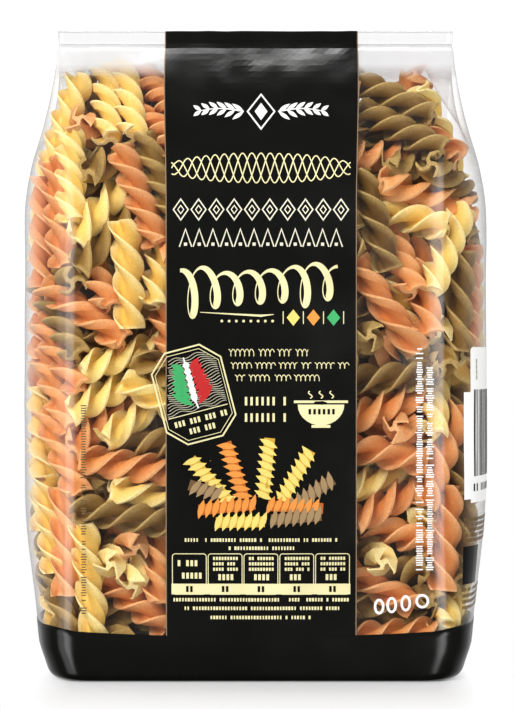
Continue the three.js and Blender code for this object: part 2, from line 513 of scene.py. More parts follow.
def film_unevenness_group() -> NodeTree:
    """Roughness and height of film: rubbed patches and faint ripples."""
    group = node_group(
        "film unevenness",
        "ShaderNodeTree",
        {"Smooth": FLOAT, "Rubbed": FLOAT, "Ripple": FLOAT},
        {"Roughness": FLOAT, "Height": FLOAT, "Haze": FLOAT},
    )
    weaver = NodeWeaver(group)
    given = weaver.add("NodeGroupInput").outputs
    place = weaver.add("ShaderNodeTexCoord").outputs["Object"]
    rubs = weaver.noise(place, FILM_RUBS, 4.0)
    rough = weaver.spread(rubs, 0.35, 0.65, given["Smooth"], given["Rubbed"])
    ripple = weaver.noise(place, given["Ripple"], 2.0)
    weaver.add("NodeGroupOutput", {"Roughness": rough, "Height": ripple, "Haze": rubs})
    return group


class Groups:
    """The shader groups that more than one finish uses, each made once."""

    def __init__(self) -> None:
        """Build the groups."""
        self.grain = pasta_grain_group()
        self.film = film_unevenness_group()

    def add_film(self, weaver: NodeWeaver, smooth: float, rubbed: float) -> Node:
        """Add the film's group to a material, with the roughness of clean and of rubbed film."""
        values = {"Smooth": smooth, "Rubbed": rubbed, "Ripple": FILM_RIPPLES}
        return weaver.add("ShaderNodeGroup", values, node_tree=self.film)


def new_material(name: str) -> tuple[Material, NodeWeaver]:
    """An empty node material and a weaver for its tree."""
    material = bpy.data.materials.new(name)
    material.use_nodes = True
    material.node_tree.nodes.clear()
    return material, NodeWeaver(material.node_tree)


@dataclass(frozen=True)
class PastaFinish:
    """Dry pasta of one colour: satin, finely grained, paler along cut edges."""

    name: str
    main: Colour
    deep: Colour
    rim: Colour
    grain: float = 1900.0
    grain_depth: float = 0.15
    bump: float = 0.35
    shine: float = 0.35

    def material(self, groups: Groups) -> Material:
        """Build the material."""
        material, weaver = new_material(self.name)
        colours = {"Main": self.main, "Deep": self.deep, "Rim": self.rim}
        values = {label: (*colour, 1.0) for label, colour in colours.items()}
        values["Grain"] = self.grain
        grain = weaver.add("ShaderNodeGroup", values, node_tree=groups.grain)
        skin = weaver.add(
            "ShaderNodeBsdfPrincipled",
            {
                "Base Color": grain.outputs["Colour"],
                "Roughness": grain.outputs["Roughness"],
                "Normal": weaver.bump(self.bump, self.grain_depth, grain.outputs["Height"]),
                "Specular IOR Level": self.shine,
            },
        )
        weaver.add("ShaderNodeOutputMaterial", {"Surface": skin})
        return material


@dataclass(frozen=True)
class ClearFilmFinish:
    """Clear glossy film: it mirrors more at grazing angles and has a faint haze."""

    name: str
    smooth: float = 0.07
    rubbed: float = 0.13
    bump: float = 0.25
    face_on_mirror: float = 0.055
    haze_low: float = 0.0
    haze_high: float = 0.018
    edge_haze: float = 0.60
    haze_colour: Colour = (0.75, 0.75, 0.76)
    clearness: float = 1.0
    top_haze: float = 0.0
    top_haze_start: float = 196.0
    top_haze_end: float = 201.0

    def material(self, groups: Groups) -> Material:
        """Build the material."""
        material, weaver = new_material(self.name)
        film = groups.add_film(weaver, self.smooth, self.rubbed)
        facing = weaver.add("ShaderNodeLayerWeight", {"Blend": 0.5}).outputs["Facing"]
        edge = weaver.math("POWER", facing, 5.0)
        mirror = weaver.math("MULTIPLY_ADD", edge, 1 - self.face_on_mirror, self.face_on_mirror)
        haze = weaver.spread(film.outputs["Haze"], 0.3, 0.7, self.haze_low, self.haze_high)
        haze = weaver.math("MULTIPLY_ADD", weaver.math("POWER", facing, 3.0), self.edge_haze, haze)
        place = weaver.add("ShaderNodeTexCoord").outputs["Object"]
        height = weaver.add("ShaderNodeSeparateXYZ", {"Vector": place}).outputs["Z"]
        top = weaver.spread(height, self.top_haze_start * MM, self.top_haze_end * MM, 0.0, self.top_haze)
        haze = weaver.math("ADD", haze, top)
        passed = (self.clearness, self.clearness, self.clearness, 1.0)
        clear = weaver.add("ShaderNodeBsdfTransparent", {"Color": passed})
        milk = (*self.haze_colour, 1.0)
        cloud = weaver.add("ShaderNodeBsdfDiffuse", {"Color": milk, "Roughness": 0.0})
        gloss = weaver.add(
            "ShaderNodeBsdfAnisotropic",
            {
                "Color": WHITE,
                "Roughness": film.outputs["Roughness"],
                "Normal": weaver.bump(self.bump, RIPPLE_DEPTH, film.outputs["Height"]),
            },
        )
        whole = weaver.cover(mirror, weaver.cover(haze, clear, cloud), gloss)
        weaver.add("ShaderNodeOutputMaterial", {"Surface": whole})
        return material


@dataclass(frozen=True)
class PrintFinish:
    """Ink under the film's gloss. The colour is one ink, or the mesh's ink attribute.

    The painted glow is an emission in the ink's colour that stands in for the light a pale ink would let
    through from behind.
    """

    name: str
    ink: Ink | None = None
    smooth: float = 0.13
    rubbed: float = 0.20
    bump: float = 0.2
    painted_glow: float = 0.0

    def material(self, groups: Groups) -> Material:
        """Build the material."""
        material, weaver = new_material(self.name)
        film = groups.add_film(weaver, self.smooth, self.rubbed)
        if self.ink is None:
            colour = weaver.add("ShaderNodeAttribute", attribute_name="ink").outputs["Color"]
        else:
            colour = (*self.ink.value, 1.0)
        shade = weaver.spread(film.outputs["Haze"], 0.3, 0.7, 0.86, 1.06)
        skin = weaver.add(
            "ShaderNodeBsdfPrincipled",
            {
                "Base Color": weaver.mix(1.0, colour, weaver.grey(shade), "MULTIPLY"),
                "Roughness": film.outputs["Roughness"],
                "Normal": weaver.bump(self.bump, RIPPLE_DEPTH, film.outputs["Height"]),
                # Painted glow: emission in the ink's colour, whatever light falls behind the ink.
                "Emission Color": colour,
                "Emission Strength": self.painted_glow,
            },
        )
        weaver.add("ShaderNodeOutputMaterial", {"Surface": skin})
        return material


def make_object(name: str, points: Points, faces: Faces, smooth: bool = True) -> Object:
    """A mesh object at the origin.

    Args:
        name: the object's name.
        points: vertices in millimetres.
        faces: vertex numbers of each face.
        smooth: whether the faces are shaded smoothly.

    Returns:
        The linked object, in metres.
    """
    mesh = bpy.data.meshes.new(name)
    mesh.from_pydata((np.asarray(points) * MM).tolist(), [], [tuple(map(int, f)) for f in faces])
    mesh.validate()
    if smooth:
        mesh.shade_smooth()
    made = bpy.data.objects.new(name, mesh)
    bpy.context.scene.collection.objects.link(made)
    return made


def grid_faces(rows: int, columns: int, closed: bool = False) -> list[tuple[int, int, int, int]]:
    """Quads between rows of points, in which each row may close on itself."""
    faces = []
    for r in range(rows - 1):
        for c in range(columns if closed else columns - 1):
            here, after = r * columns + c, r * columns + (c + 1) % columns
            faces.append((here, after, after + columns, here + columns))
    return faces


def tube_faces(rows: int, columns: int) -> list[tuple[int, ...]]:
    """Faces of a closed tube, between rows of points that close on themselves."""
    last = columns * (rows - 1)
    ends = [tuple(reversed(range(columns))), tuple(range(last, last + columns))]
    return grid_faces(rows, columns, closed=True) + ends


def finish_piece(
    piece: Object, material: Material, hides_solid: bool = False
) -> None:
    """Dress a piece, let it ride on the packet and report it."""
    if not piece.data.materials:
        piece.data.materials.append(material)
    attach(piece, BODY)
    if hides_solid:
        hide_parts(CAD_NODE)
    triangles = sum(len(p.vertices) - 2 for p in piece.data.polygons)
    log.info("%s: %d triangles", piece.name, triangles)


class Layout:
    """Flat printed shapes in surface coordinates, across and along, in millimetres."""

    def __init__(self) -> None:
        """Start empty."""
        self.points: Outline = []
        self.faces: list[tuple[int, ...]] = []
        self.inks: list[Colour] = []
        self.lifts: list[float] = []
        self.ink = Ink.CREAM
        self.level = 0.0

    def add(self, points: Path, faces: Faces) -> None:
        """Add a shape in the current ink, at the current level."""
        start = len(self.points)
        self.points.extend((float(a), float(b)) for a, b in points)
        self.faces.extend(tuple(start + i for i in face) for face in faces)
        self.inks.extend([self.ink.value] * len(points))
        self.lifts.extend([self.level] * len(points))

    def patch(
        self, left: float, right: float, low: float, high: float, step: float = 3.0,
        also: Points | None = None,
    ) -> None:
        """Add a rectangle, in steps short enough to follow the film, with rows at more heights."""
        across = np.linspace(left, right, max(2, math.ceil((right - left) / step) + 1))
        along = np.linspace(low, high, max(2, math.ceil((high - low) / step) + 1))
        if also is not None:
            apart = np.abs(along[:, None] - also).min(axis=1) > step / 4
            along = np.sort(np.concatenate([along[apart], also]))
        points = [(a, b) for b in along for a in across]
        self.add(points, grid_faces(len(along), len(across)))

    def polygon(self, points: Path) -> None:
        """Add a small filled shape round its middle."""
        middle = np.mean(np.asarray(points), axis=0)
        count = len(points)
        self.add([*points, tuple(middle)], [(i, (i + 1) % count, count) for i in range(count)])

    def stroke(self, path: Path, width: float | Sequence[float], closed: bool = False) -> None:
        """Add a line of some width along a path.

        Args:
            path: points along the line's middle.
            width: one width, or one for each point.
            closed: whether the line returns to its start.
        """
        line = np.asarray(path, float)
        if closed:
            ahead, behind = np.roll(line, -1, axis=0), np.roll(line, 1, axis=0)
        else:
            ahead = np.vstack([line[1:], 2 * line[-1] - line[-2]])
            behind = np.vstack([2 * line[0] - line[1], line[:-1]])
        first, second = unit(line - behind), unit(ahead - line)
        along = unit(first + second)
        side = np.stack([-along[:, 1], along[:, 0]], axis=1)
        mitre = np.clip((along * second).sum(axis=1), 0.5, 1.0)
        half = (np.broadcast_to(width, len(line)) / 2 / mitre)[:, None]
        points = np.concatenate([line - side * half, line + side * half])
        count = len(line)
        faces = []
        for i in range(count if closed else count - 1):
            j = (i + 1) % count
            faces.append((i, j, count + j, count + i))
        self.add(points.tolist(), faces)

    def press(self, name: str, face: Face, layer: Layer) -> Object:
        """Lay the shapes on a surface as thin closed slabs.

        Args:
            name: the piece's name.
            face: gives points from coordinates across and along and a lift.
            layer: how far the slabs stand off the surface.

        Returns:
            The piece, with the ink of each shape as a colour attribute.
        """
        low, high = layer.value
        flat = np.asarray(self.points)
        lifts = np.asarray(self.lifts)
        count = len(flat)
        base = face(flat[:, 0], flat[:, 1], lifts + low)
        top = face(flat[:, 0], flat[:, 1], lifts + high)
        faces = []
        edges: dict[tuple[int, int], bool] = {}
        for polygon in self.faces:
            corners = flat[list(polygon)]
            following = np.roll(corners, -1, axis=0)
            area = (corners[:, 0] * following[:, 1] - corners[:, 1] * following[:, 0]).sum()
            turned = polygon if area > 0 else polygon[::-1]
            faces.append(turned)
            faces.append(tuple(i + count for i in reversed(turned)))
            for i, j in zip(turned, (*turned[1:], turned[0])):
                edges[(i, j)] = True
        for i, j in edges:
            if (j, i) not in edges:
                faces.append((j, i, i + count, j + count))
        piece = make_object(name, np.concatenate([top, base]), faces, smooth=False)
        ink = piece.data.attributes.new("ink", "FLOAT_COLOR", "POINT")
        colours = np.concatenate([np.asarray(self.inks * 2), np.ones((2 * count, 1))], axis=1)
        ink.data.foreach_set("color", colours.astype(np.float32).ravel())
        return piece


def arc_path(x: float, z: float, wide: float, tall: float, start: float, end: float, count: int) -> Outline:
    """Points along part of an ellipse, between two angles in degrees."""
    angles = np.radians(np.linspace(start, end, count))
    return [(x + wide * math.cos(a), z + tall * math.sin(a)) for a in angles]


def loop_path(x: float, z: float, wide: float, tall: float, sides: int) -> Outline:
    """Corners of a polygon in an ellipse, the first on its right."""
    return arc_path(x, z, wide, tall, 0.0, 360.0, sides + 1)[:-1]


def placed(path: Path, x: float, z: float, degrees: float = 0.0, size: float = 1.0) -> Outline:
    """A path turned, scaled and moved."""
    c, s = math.cos(math.radians(degrees)) * size, math.sin(math.radians(degrees)) * size
    return [(x + a * c - b * s, z + a * s + b * c) for a, b in path]


class StampRows:
    """A Geometry Nodes tree that sets one small shape out in rows, with seeded gaps."""

    def __init__(self) -> None:
        """Build the tree."""
        self.tree = node_group(
            "stamp rows",
            "GeometryNodeTree",
            {
                "Stamp": "NodeSocketObject", "Count": WHOLE, "Pitch": FLOAT, "Rows": WHOLE,
                "Row Pitch": FLOAT, "Short": FLOAT, "Long": FLOAT, "Keep": FLOAT, "Seed": WHOLE,
                "Ink": "NodeSocketMaterial",
            },
            {"Geometry": "NodeSocketGeometry"},
        )
        weaver = NodeWeaver(self.tree)
        given = weaver.add("NodeGroupInput").outputs
        wide = weaver.math("MULTIPLY", weaver.math("SUBTRACT", given["Count"], 1.0), given["Pitch"])
        tall = weaver.math("MULTIPLY", weaver.math("SUBTRACT", given["Rows"], 1.0), given["Row Pitch"])
        grid = weaver.add(
            "GeometryNodeMeshGrid",
            {"Size X": wide, "Size Y": tall, "Vertices X": given["Count"], "Vertices Y": given["Rows"]},
        )
        chance = {"Probability": given["Keep"], "Seed": given["Seed"]}
        keep = weaver.add("FunctionNodeRandomValue", chance, data_type="BOOLEAN")
        length = weaver.add("FunctionNodeRandomValue", data_type="FLOAT")
        for label, value in (("Min", given["Short"]), ("Max", given["Long"]), ("Seed", given["Seed"])):
            weaver.feed(live_socket(length.inputs, label), value)
        scale = weaver.add(
            "ShaderNodeCombineXYZ", {"X": live_socket(length.outputs, "Value"), "Y": 1.0, "Z": 1.0}
        )
        stamp = weaver.add("GeometryNodeObjectInfo", {"Object": given["Stamp"]})
        copies = weaver.add(
            "GeometryNodeInstanceOnPoints",
            {
                "Points": grid.outputs["Mesh"],
                "Selection": live_socket(keep.outputs, "Value"),
                "Instance": stamp.outputs["Geometry"],
                "Scale": scale,
            },
        )
        weaver.realize(copies, given["Ink"])
        self.blank = bpy.data.materials.new("ink under film")

    def fill(
        self, layout: Layout, stamp: Stamp, left: float, right: float, low: float, high: float,
        pitch: float, rows: int = 1, short: float = 1.0, long: float = 1.0, keep: float = 1.0,
        seed: int = 1,
    ) -> None:
        """Set a stamp out in rows within a rectangle and add the result to a layout.

        Args:
            layout: the layout that takes the shapes.
            stamp: the small shape's points and faces, about its own middle.
            left: the rectangle's left side.
            right: its right side.
            low: its lower side.
            high: its upper side.
            pitch: distance between neighbours in a row.
            rows: number of rows.
            short: least length of a stamp, as a share of its drawn length.
            long: greatest length.
            keep: share of stamps that are kept.
            seed: seed of the gaps and lengths.
        """
        points, faces = stamp
        source = make_object("stamp", np.array([(a, b, 0.0) for a, b in points]) / MM, faces, smooth=False)
        bed = make_object("stamp bed", np.zeros((1, 3)), [])
        count = max(1, int((right - left) / pitch + 1e-6))
        row_pitch = (high - low) / rows
        values = {
            "Stamp": source, "Count": count, "Pitch": pitch, "Rows": rows, "Row Pitch": row_pitch,
            "Short": short, "Long": long, "Keep": keep, "Seed": seed, "Ink": self.blank,
        }
        mesh = run_nodes(bed, self.tree, values)
        middle_x, middle_z = (left + right) / 2, (low + high) / 2
        flat = [(v.co.x + middle_x, v.co.y + middle_z) for v in mesh.vertices]
        layout.add(flat, [tuple(p.vertices) for p in mesh.polygons])
        bpy.data.objects.remove(source)
        bpy.data.objects.remove(bed)
        bpy.data.meshes.remove(mesh)


def run_nodes(
    carrier: Object, tree: NodeTree, values: dict[str, object]
) -> Mesh:
    """Evaluate a Geometry Nodes tree and return its result.

    Args:
        carrier: the object that the tree runs on.
        tree: the tree.
        values: input name to value.

    Returns:
        A plain mesh with the instances made real.
    """
    modifier = carrier.modifiers.new(tree.name, "NODES")
    modifier.node_group = tree
    for item in tree.interface.items_tree:
        if item.item_type == "SOCKET" and item.in_out == "INPUT" and item.name in values:
            modifier[item.identifier] = values[item.name]
    graph = bpy.context.evaluated_depsgraph_get()
    mesh = bpy.data.meshes.new_from_object(carrier.evaluated_get(graph))
    carrier.modifiers.remove(modifier)
    return mesh


@dataclass(frozen=True)
class SpiralMould:
    """One pasta spiral: three curled blades round an axis, twisted left-handed."""

    length: float = 35.0
    radius: float = 5.2
    pitch: float = 24.0
    bow: float = 0.8
    steps: int = 28
    curl: float = 78.0
    curl_power: float = 2.1
    blade: float = 1.25
    hub: float = 1.45
    blades: int = 3
    notch: float = 0.62
    thinning: float = 0.35
    sharp_angle: float = 52.0
    coarse: bool = False

    def section(self) -> tuple[Points, Points]:
        """The cross-section.

        Returns:
            Points round the section in order, and how much each is on a blade's rim.
        """
        stations = (0.34, 0.94) if self.coarse else (0.34, 0.68, 0.93)
        points, rims = [], []
        for k in range(self.blades):
            start = 2 * math.pi * k / self.blades
            spine = [self._spine(start, share) for share in stations]
            tip = self._spine(start, 1.0)
            sides = [self._sides(start, share) for share in stations]
            between = start - math.pi / self.blades
            hub = self.hub * self.notch
            points.append((hub * math.cos(between), hub * math.sin(between)))
            rims.append(0.0)
            points.extend(right for right, _ in sides)
            points.append(tip)
            points.extend(left for _, left in reversed(sides))
            edge = [0.0] * (len(spine) - 1) + [0.75]
            rims.extend([*edge, 1.0, *reversed(edge)])
        return np.array(points), np.array(rims)

    def _spine(self, start: float, share: float) -> tuple[float, float]:
        """A point on a blade's middle line."""
        angle = start + math.radians(self.curl) * share**self.curl_power
        return self.radius * share * math.cos(angle), self.radius * share * math.sin(angle)

    def _sides(self, start: float, share: float) -> tuple[tuple[float, float], tuple[float, float]]:
        """The two faces of a blade beside its middle line."""
        x, y = self._spine(start, share)
        ahead = self._spine(start, share + 0.02)
        along = math.atan2(ahead[1] - y, ahead[0] - x)
        half = self.blade / 2 * (1.0 - self.thinning * share**3)
        dx, dy = half * math.sin(along), -half * math.cos(along)
        return (x + dx, y + dy), (x - dx, y - dy)

    def build(self, name: str) -> Object:
        """Make the spiral, its axis along Z and its middle at the origin, in millimetres."""
        section, rims = self.section()
        count = len(section)
        rows = []
        for z in np.linspace(-0.5, 0.5, self.steps + 1) * self.length:
            twist = -2 * math.pi * z / self.pitch
            c, s = math.cos(twist), math.sin(twist)
            bow = self.bow * (1 / 3 - (2 * z / self.length) ** 2)
            x = section[:, 0] * c - section[:, 1] * s + bow
            y = section[:, 0] * s + section[:, 1] * c
            rows.append(np.stack([x, y, np.full(count, z)], axis=1))
        made = make_object(name, np.concatenate(rows) / MM, tube_faces(len(rows), count))
        made.data.set_sharp_from_angle(angle=math.radians(self.sharp_angle))
        weights = np.tile(rims, (len(rows), 1))
        weights[0], weights[-1] = 1.0, 1.0
        made.data.attributes.new("rim", "FLOAT", "POINT").data.foreach_set("value", weights.ravel())
        return made


YELLOW, ORANGE, GREEN = Dough

# Colour, middle across and up, lean from level and length that shows, in millimetres and degrees.
LEFT_SPIRALS = (
    (GREEN, -60, 188, 100, 18), (YELLOW, -51, 189, 100, 14), (YELLOW, -43, 193, 96, 12),
    (ORANGE, -32, 193, 95, 13), (ORANGE, -38, 182, 166, 15), (GREEN, -47, 173, 25, 18),
    (GREEN, -34, 165, 119, 15), (YELLOW, -59, 162, 108, 26), (ORANGE, -66, 152, 103, 29),
    (ORANGE, -40, 157, 128, 31), (YELLOW, -49, 151, 56, 13), (GREEN, -48, 144, 27, 17),
    (YELLOW, -43, 131, 70, 31), (YELLOW, -32, 134, 95, 15), (ORANGE, -55, 130, 96, 14),
    (GREEN, -65, 133, 135, 0), (ORANGE, -59, 118, 151, 30), (YELLOW, -42, 110, 22, 25),
    (GREEN, -67, 117, 143, 12), (ORANGE, -64, 107, 160, 20), (ORANGE, -32, 121, 111, 9),
    (YELLOW, -67, 178, 80, 14), (YELLOW, -52, 94, 17, 32), (YELLOW, -37, 89, 30, 15),
    (ORANGE, -49, 82, 43, 15), (ORANGE, -46, 67, 5, 28), (ORANGE, -65, 74, 106, 15),
    (GREEN, -36, 76, 175, 15), (GREEN, -42, 54, 162, 24), (YELLOW, -31, 56, 0, 10),
    (ORANGE, -45, 48, 135, 0), (YELLOW, -36, 41, 135, 0), (YELLOW, -46, 40, 27, 0),
    (YELLOW, -55, 32, 89, 35), (ORANGE, -39, 29, 148, 22), (YELLOW, -68, 49, 88, 29),
    (ORANGE, -64, 48, 90, 28), (GREEN, -68, 26, 105, 14), (GREEN, -45, 17, 135, 0),
    (ORANGE, -30, 38, 90, 18), (YELLOW, -62, 17, 172, 14), (ORANGE, -70, 89, 122, 12),
    (GREEN, -57, 74, 107, 8),
)
RIGHT_SPIRALS = (
    (GREEN, 45, 193, 167, 25), (YELLOW, 35, 189, 20, 7), (ORANGE, 42, 172, 9, 19),
    (GREEN, 56, 178, 172, 17), (GREEN, 57, 172, 23, 13), (GREEN, 67, 169, 30, 9),
    (ORANGE, 58, 162, 5, 28), (GREEN, 38, 147, 102, 29), (YELLOW, 51, 150, 178, 20),
    (YELLOW, 61, 140, 35, 29), (ORANGE, 47, 137, 110, 12), (ORANGE, 44, 121, 141, 29),
    (ORANGE, 53, 123, 106, 13), (GREEN, 67, 119, 103, 27), (ORANGE, 72, 124, 107, 8),
    (YELLOW, 61, 115, 158, 0), (GREEN, 38, 109, 135, 0), (GREEN, 46, 107, 135, 0),
    (GREEN, 61, 107, 135, 0), (GREEN, 67, 152, 172, 13), (GREEN, 42, 96, 159, 19),
    (ORANGE, 41, 86, 9, 15), (ORANGE, 42, 73, 160, 20), (ORANGE, 48, 78, 0, 0),
    (YELLOW, 38, 64, 9, 12), (ORANGE, 46, 58, 57, 17), (ORANGE, 42, 47, 165, 19),
    (YELLOW, 38, 38, 135, 0), (GREEN, 47, 34, 162, 16), (ORANGE, 37, 30, 148, 12),
    (ORANGE, 43, 16, 13, 16), (YELLOW, 63, 89, 135, 10), (ORANGE, 63, 71, 97, 21),
    (ORANGE, 63, 50, 95, 21), (GREEN, 64, 21, 161, 13), (GREEN, 49, 31, 135, 0),
    (GREEN, 63, 34, 135, 0), (YELLOW, 65, 27, 135, 0), (GREEN, 67, 76, 93, 11),
)


@dataclass
class Rods:
    """Spirals in the packer: rods with a middle, a direction and a half length."""

    middle: Points
    direction: Points
    half: Points

    def turn(self, swing: Points) -> None:
        """Swing each rod by a small vector at its unit distance."""
        swing = swing - self.direction * (swing * self.direction).sum(axis=1, keepdims=True)
        self.direction = unit(self.direction + swing)


@dataclass(frozen=True)
class SpiralPacker:
    """Packs spirals in the bag: each is a rod, pushed out of its neighbours and the film."""

    bag: BagShape = BagShape()
    count: int = 494
    seed: int = 11
    rod_radius: float = 4.4
    film_gap: float = 5.5
    short: float = 31.0
    long: float = 37.0
    lid_z: float = 203.2
    lid_wave: float = 1.6
    corner_high: tuple[float, float] = (59.0, 197.0)
    corner_low: tuple[float, float] = (68.5, 177.0)
    rounds: int = 320
    hold: float = 0.2
    hold_share: float = 0.85
    first_girth: float = 0.55
    girth_growth: float = 0.75
    hidden_x: float = 26.0
    side_x: float = 52.0
    side_lean: float = 0.2
    front_layer: float = 11.0
    edge_room: float = 6.0
    top_room: float = 5.0
    flat_depth: float = 7.0
    tilt_depth: float = 12.0
    end_on_depth: float = 18.0
    end_on_tilt: float = 75.0
    press: float = 0.12
    panel_nudge: float = 0.08
    panel_room: float = 12.0
    gusset_nudge: float = 0.25
    gusset_room: float = 22.0
    base_gap: float = 0.6
    spare_gap: float = 0.2

    def clearances(self, points: Points) -> Points:
        """Distances inside the panels, the gussets, the creases, the base and the heap's top."""
        x, y = np.abs(points[:, 0]), np.abs(points[:, 1])
        z = np.clip(points[:, 2], 0.0, self.bag.ridge_z)
        width, depth = self.bag.half_width(z), self.bag.half_depth(z)
        panel = self.bag.panel_y(np.minimum(x, width), z) - y
        gusset = self.bag.gusset_x(np.clip(y / depth, 0.0, 1.0), z) - x
        crease = (width - x + depth - y - self.bag.crease_round / 2) / math.sqrt(2)
        lid = self.lid_z + self.lid_wave * np.sin(points[:, 0] / 9.0) - points[:, 2]
        (high_x, high_z), (low_x, low_z) = self.corner_high, self.corner_low
        corner = (high_x - points[:, 0]) * (high_z - low_z) + (high_z - points[:, 2]) * (low_x - high_x)
        corner /= math.hypot(high_z - low_z, low_x - high_x)
        return np.stack([panel, gusset, crease, points[:, 2] - self.base_gap, lid, corner])

    def scatter(self) -> tuple[Rods, Points, Points]:
        """Rods to start from, the seen ones first.

        Returns:
            The rods, the seen ones' colours and which of them show an end.
        """
        listed = LEFT_SPIRALS + RIGHT_SPIRALS
        seen = np.array([(dough.value, *place) for dough, *place in listed], float)
        doughs, x, z, lean, shown = seen.T
        rng = np.random.default_rng(self.seed)
        end_on = shown < 2
        length = rng.uniform(self.short, self.long, self.count)
        part = 0.5 * np.arccos(np.clip(shown / self.long, 0.0, 1.0))
        tilt = np.where(end_on, math.radians(self.end_on_tilt), part)
        lean = np.radians(lean)
        flat = np.cos(tilt)
        seen_direction = np.stack([flat * np.cos(lean), np.sin(tilt), flat * np.sin(lean)], axis=1)
        depth = self.flat_depth + self.tilt_depth * np.sin(tilt)
        y = -self.bag.panel_y(x, z) + np.where(end_on, self.end_on_depth, depth)
        seen_middle = np.stack([x, np.minimum(y, 0.0), z], axis=1)
        z = rng.uniform(self.edge_room, self.lid_z - self.top_room, 3 * self.count)
        roomy = rng.uniform(0.0, 1.0, len(z)) < self.bag.half_depth(z) / (self.bag.gusset_depth / 2)
        z = z[roomy][: self.count - len(seen)]
        x = rng.uniform(-1.0, 1.0, len(z)) * (self.bag.half_width(z) - self.edge_room)
        room = np.maximum(self.bag.half_depth(z) - self.edge_room, 1.0)
        front = np.where(np.abs(x) > self.hidden_x, np.maximum(room - self.front_layer, 0.0), room)
        y = rng.uniform(-1.0, 1.0, len(z)) * (room + front) / 2 + (room - front) / 2
        directions = rng.normal(size=(len(z), 3)) * np.array([1.0, 0.5, 1.0])
        directions[:, 0] *= np.where(np.abs(x) > self.side_x, self.side_lean, 1.0)
        middle = np.concatenate([seen_middle, np.stack([x, y, z], axis=1)])
        direction = unit(np.concatenate([seen_direction, directions]))
        rods = Rods(middle, direction, length[: len(middle)] / 2)
        return rods, doughs.astype(int), end_on

    def pack(self) -> tuple[Rods, Points]:
        """Settle the spirals.

        Returns:
            The rods, and the colours of the first of them, which show at the front.
        """
        rods, doughs, end_on = self.scatter()
        count = len(doughs)
        place, aim = rods.middle[:count].copy(), rods.direction[:count].copy()
        arm = rods.half - self.rod_radius
        inertia = arm**2 / 3 + self.rod_radius**2 / 2
        for turn in range(self.rounds):
            if turn % 8 == 0:
                pairs = self.neighbours(rods)
            share = turn / self.rounds
            girth = min(1.0, self.first_girth + self.girth_growth * share)
            self.part_rods(rods, arm, inertia, pairs, self.rod_radius * girth)
            if share < self.hold_share:
                rods.middle[:count, 0::2] += self.hold * (place - rods.middle[:count])[:, 0::2]
                rods.middle[:count, 1] -= self.press * ~end_on
                swing = np.zeros_like(rods.direction)
                swing[:count] = self.hold * (aim - rods.direction[:count])
                rods.turn(swing)
                self.press_outwards(rods.middle[count:])
            self.keep_inside(rods, inertia)
        return rods, doughs

    def neighbours(self, rods: Rods) -> tuple[Points, Points]:
        """Pairs of rods near enough to touch soon."""
        apart = ((rods.middle[:, None, :] - rods.middle[None, :, :]) ** 2).sum(axis=-1)
        reach = rods.half[:, None] + rods.half[None, :] + 5.0
        return np.nonzero(np.triu(apart < reach**2, 1))

    def part_rods(
        self, rods: Rods, arm: Points, inertia: Points, pairs: tuple[Points, Points], radius: float
    ) -> None:
        """Push overlapping rods apart.

        Args:
            rods: the rods, which are moved and turned.
            arm: their half lengths without the round ends.
            inertia: how they resist turning.
            pairs: the two rods of each near pair.
            radius: the rods' radius now.
        """
        first, second = pairs
        d1, d2 = rods.direction[first], rods.direction[second]
        apart = rods.middle[first] - rods.middle[second]
        cosine = (d1 * d2).sum(axis=1)
        along1, along2 = (d1 * apart).sum(axis=1), (d2 * apart).sum(axis=1)
        s = (cosine * along2 - along1) / np.maximum(1 - cosine**2, 1e-6)
        s = np.clip(s, -arm[first], arm[first])
        t = np.clip(cosine * s + along2, -arm[second], arm[second])
        s = np.clip(cosine * t - along1, -arm[first], arm[first])
        gap = apart + s[:, None] * d1 - t[:, None] * d2
        distance = np.sqrt((gap**2).sum(axis=1))
        hit = distance < 2 * radius
        normal = gap[hit] / np.maximum(distance[hit], 1e-6)[:, None]
        s, t, i, j = s[hit], t[hit], first[hit], second[hit]
        give = (2 * radius - distance[hit]) / (2 + s**2 / inertia[i] + t**2 / inertia[j])
        count = len(rods.half)
        move, swing, touches = np.zeros((count, 3)), np.zeros((count, 3)), np.zeros(count)
        for index, way, reach in ((i, give, s), (j, -give, t)):
            push = normal * way[:, None]
            lean = push * (reach / inertia[index])[:, None]
            for axis in range(3):
                move[:, axis] += np.bincount(index, push[:, axis], count)
                swing[:, axis] += np.bincount(index, lean[:, axis], count)
            touches += np.bincount(index, minlength=count)
        ease = (1.0 / np.maximum(0.35 * touches, 1.0))[:, None]
        rods.middle += move * ease
        rods.turn(swing * ease)

    def keep_inside(self, rods: Rods, inertia: Points) -> None:
        """Push each rod's ends and middle back inside the film, as far as its girth needs."""
        for end in (-1.0, 1.0, 0.0):
            arm = end * rods.half
            push = self.film_push(rods.middle + arm[:, None] * rods.direction, rods.direction)
            push /= (1 + arm**2 / inertia)[:, None]
            rods.middle += push
            rods.turn(push * (arm / inertia)[:, None])

    def film_push(self, points: Points, directions: Points) -> Points:
        """How the film and the heap's top push discs at these points, square to the directions."""
        step = 0.05
        here = self.clearances(points)
        slopes = []
        for axis in range(3):
            moved = points.copy()
            moved[:, axis] += step
            slopes.append((self.clearances(moved) - here) / step)
        slope = np.stack(slopes, axis=-1)
        size = np.maximum(np.sqrt((slope**2).sum(axis=-1)), 1e-6)
        normal = slope / size[..., None]
        along = (normal * directions).sum(axis=-1)
        need = self.film_gap * np.sqrt(np.maximum(1 - along**2, 0.0)) + self.spare_gap
        short = np.maximum(need - here / size, 0.0)
        return (short[..., None] * normal).sum(axis=0)

    def press_outwards(self, middle: Points) -> None:
        """Nudge the outer rods towards the film, which they fill out."""
        room = self.clearances(middle)
        near_panel, near_gusset = room[0] < self.panel_room, room[1] < self.gusset_room
        middle[:, 1] += np.sign(middle[:, 1]) * self.panel_nudge * near_panel
        middle[:, 0] += np.sign(middle[:, 0]) * self.gusset_nudge * near_gusset


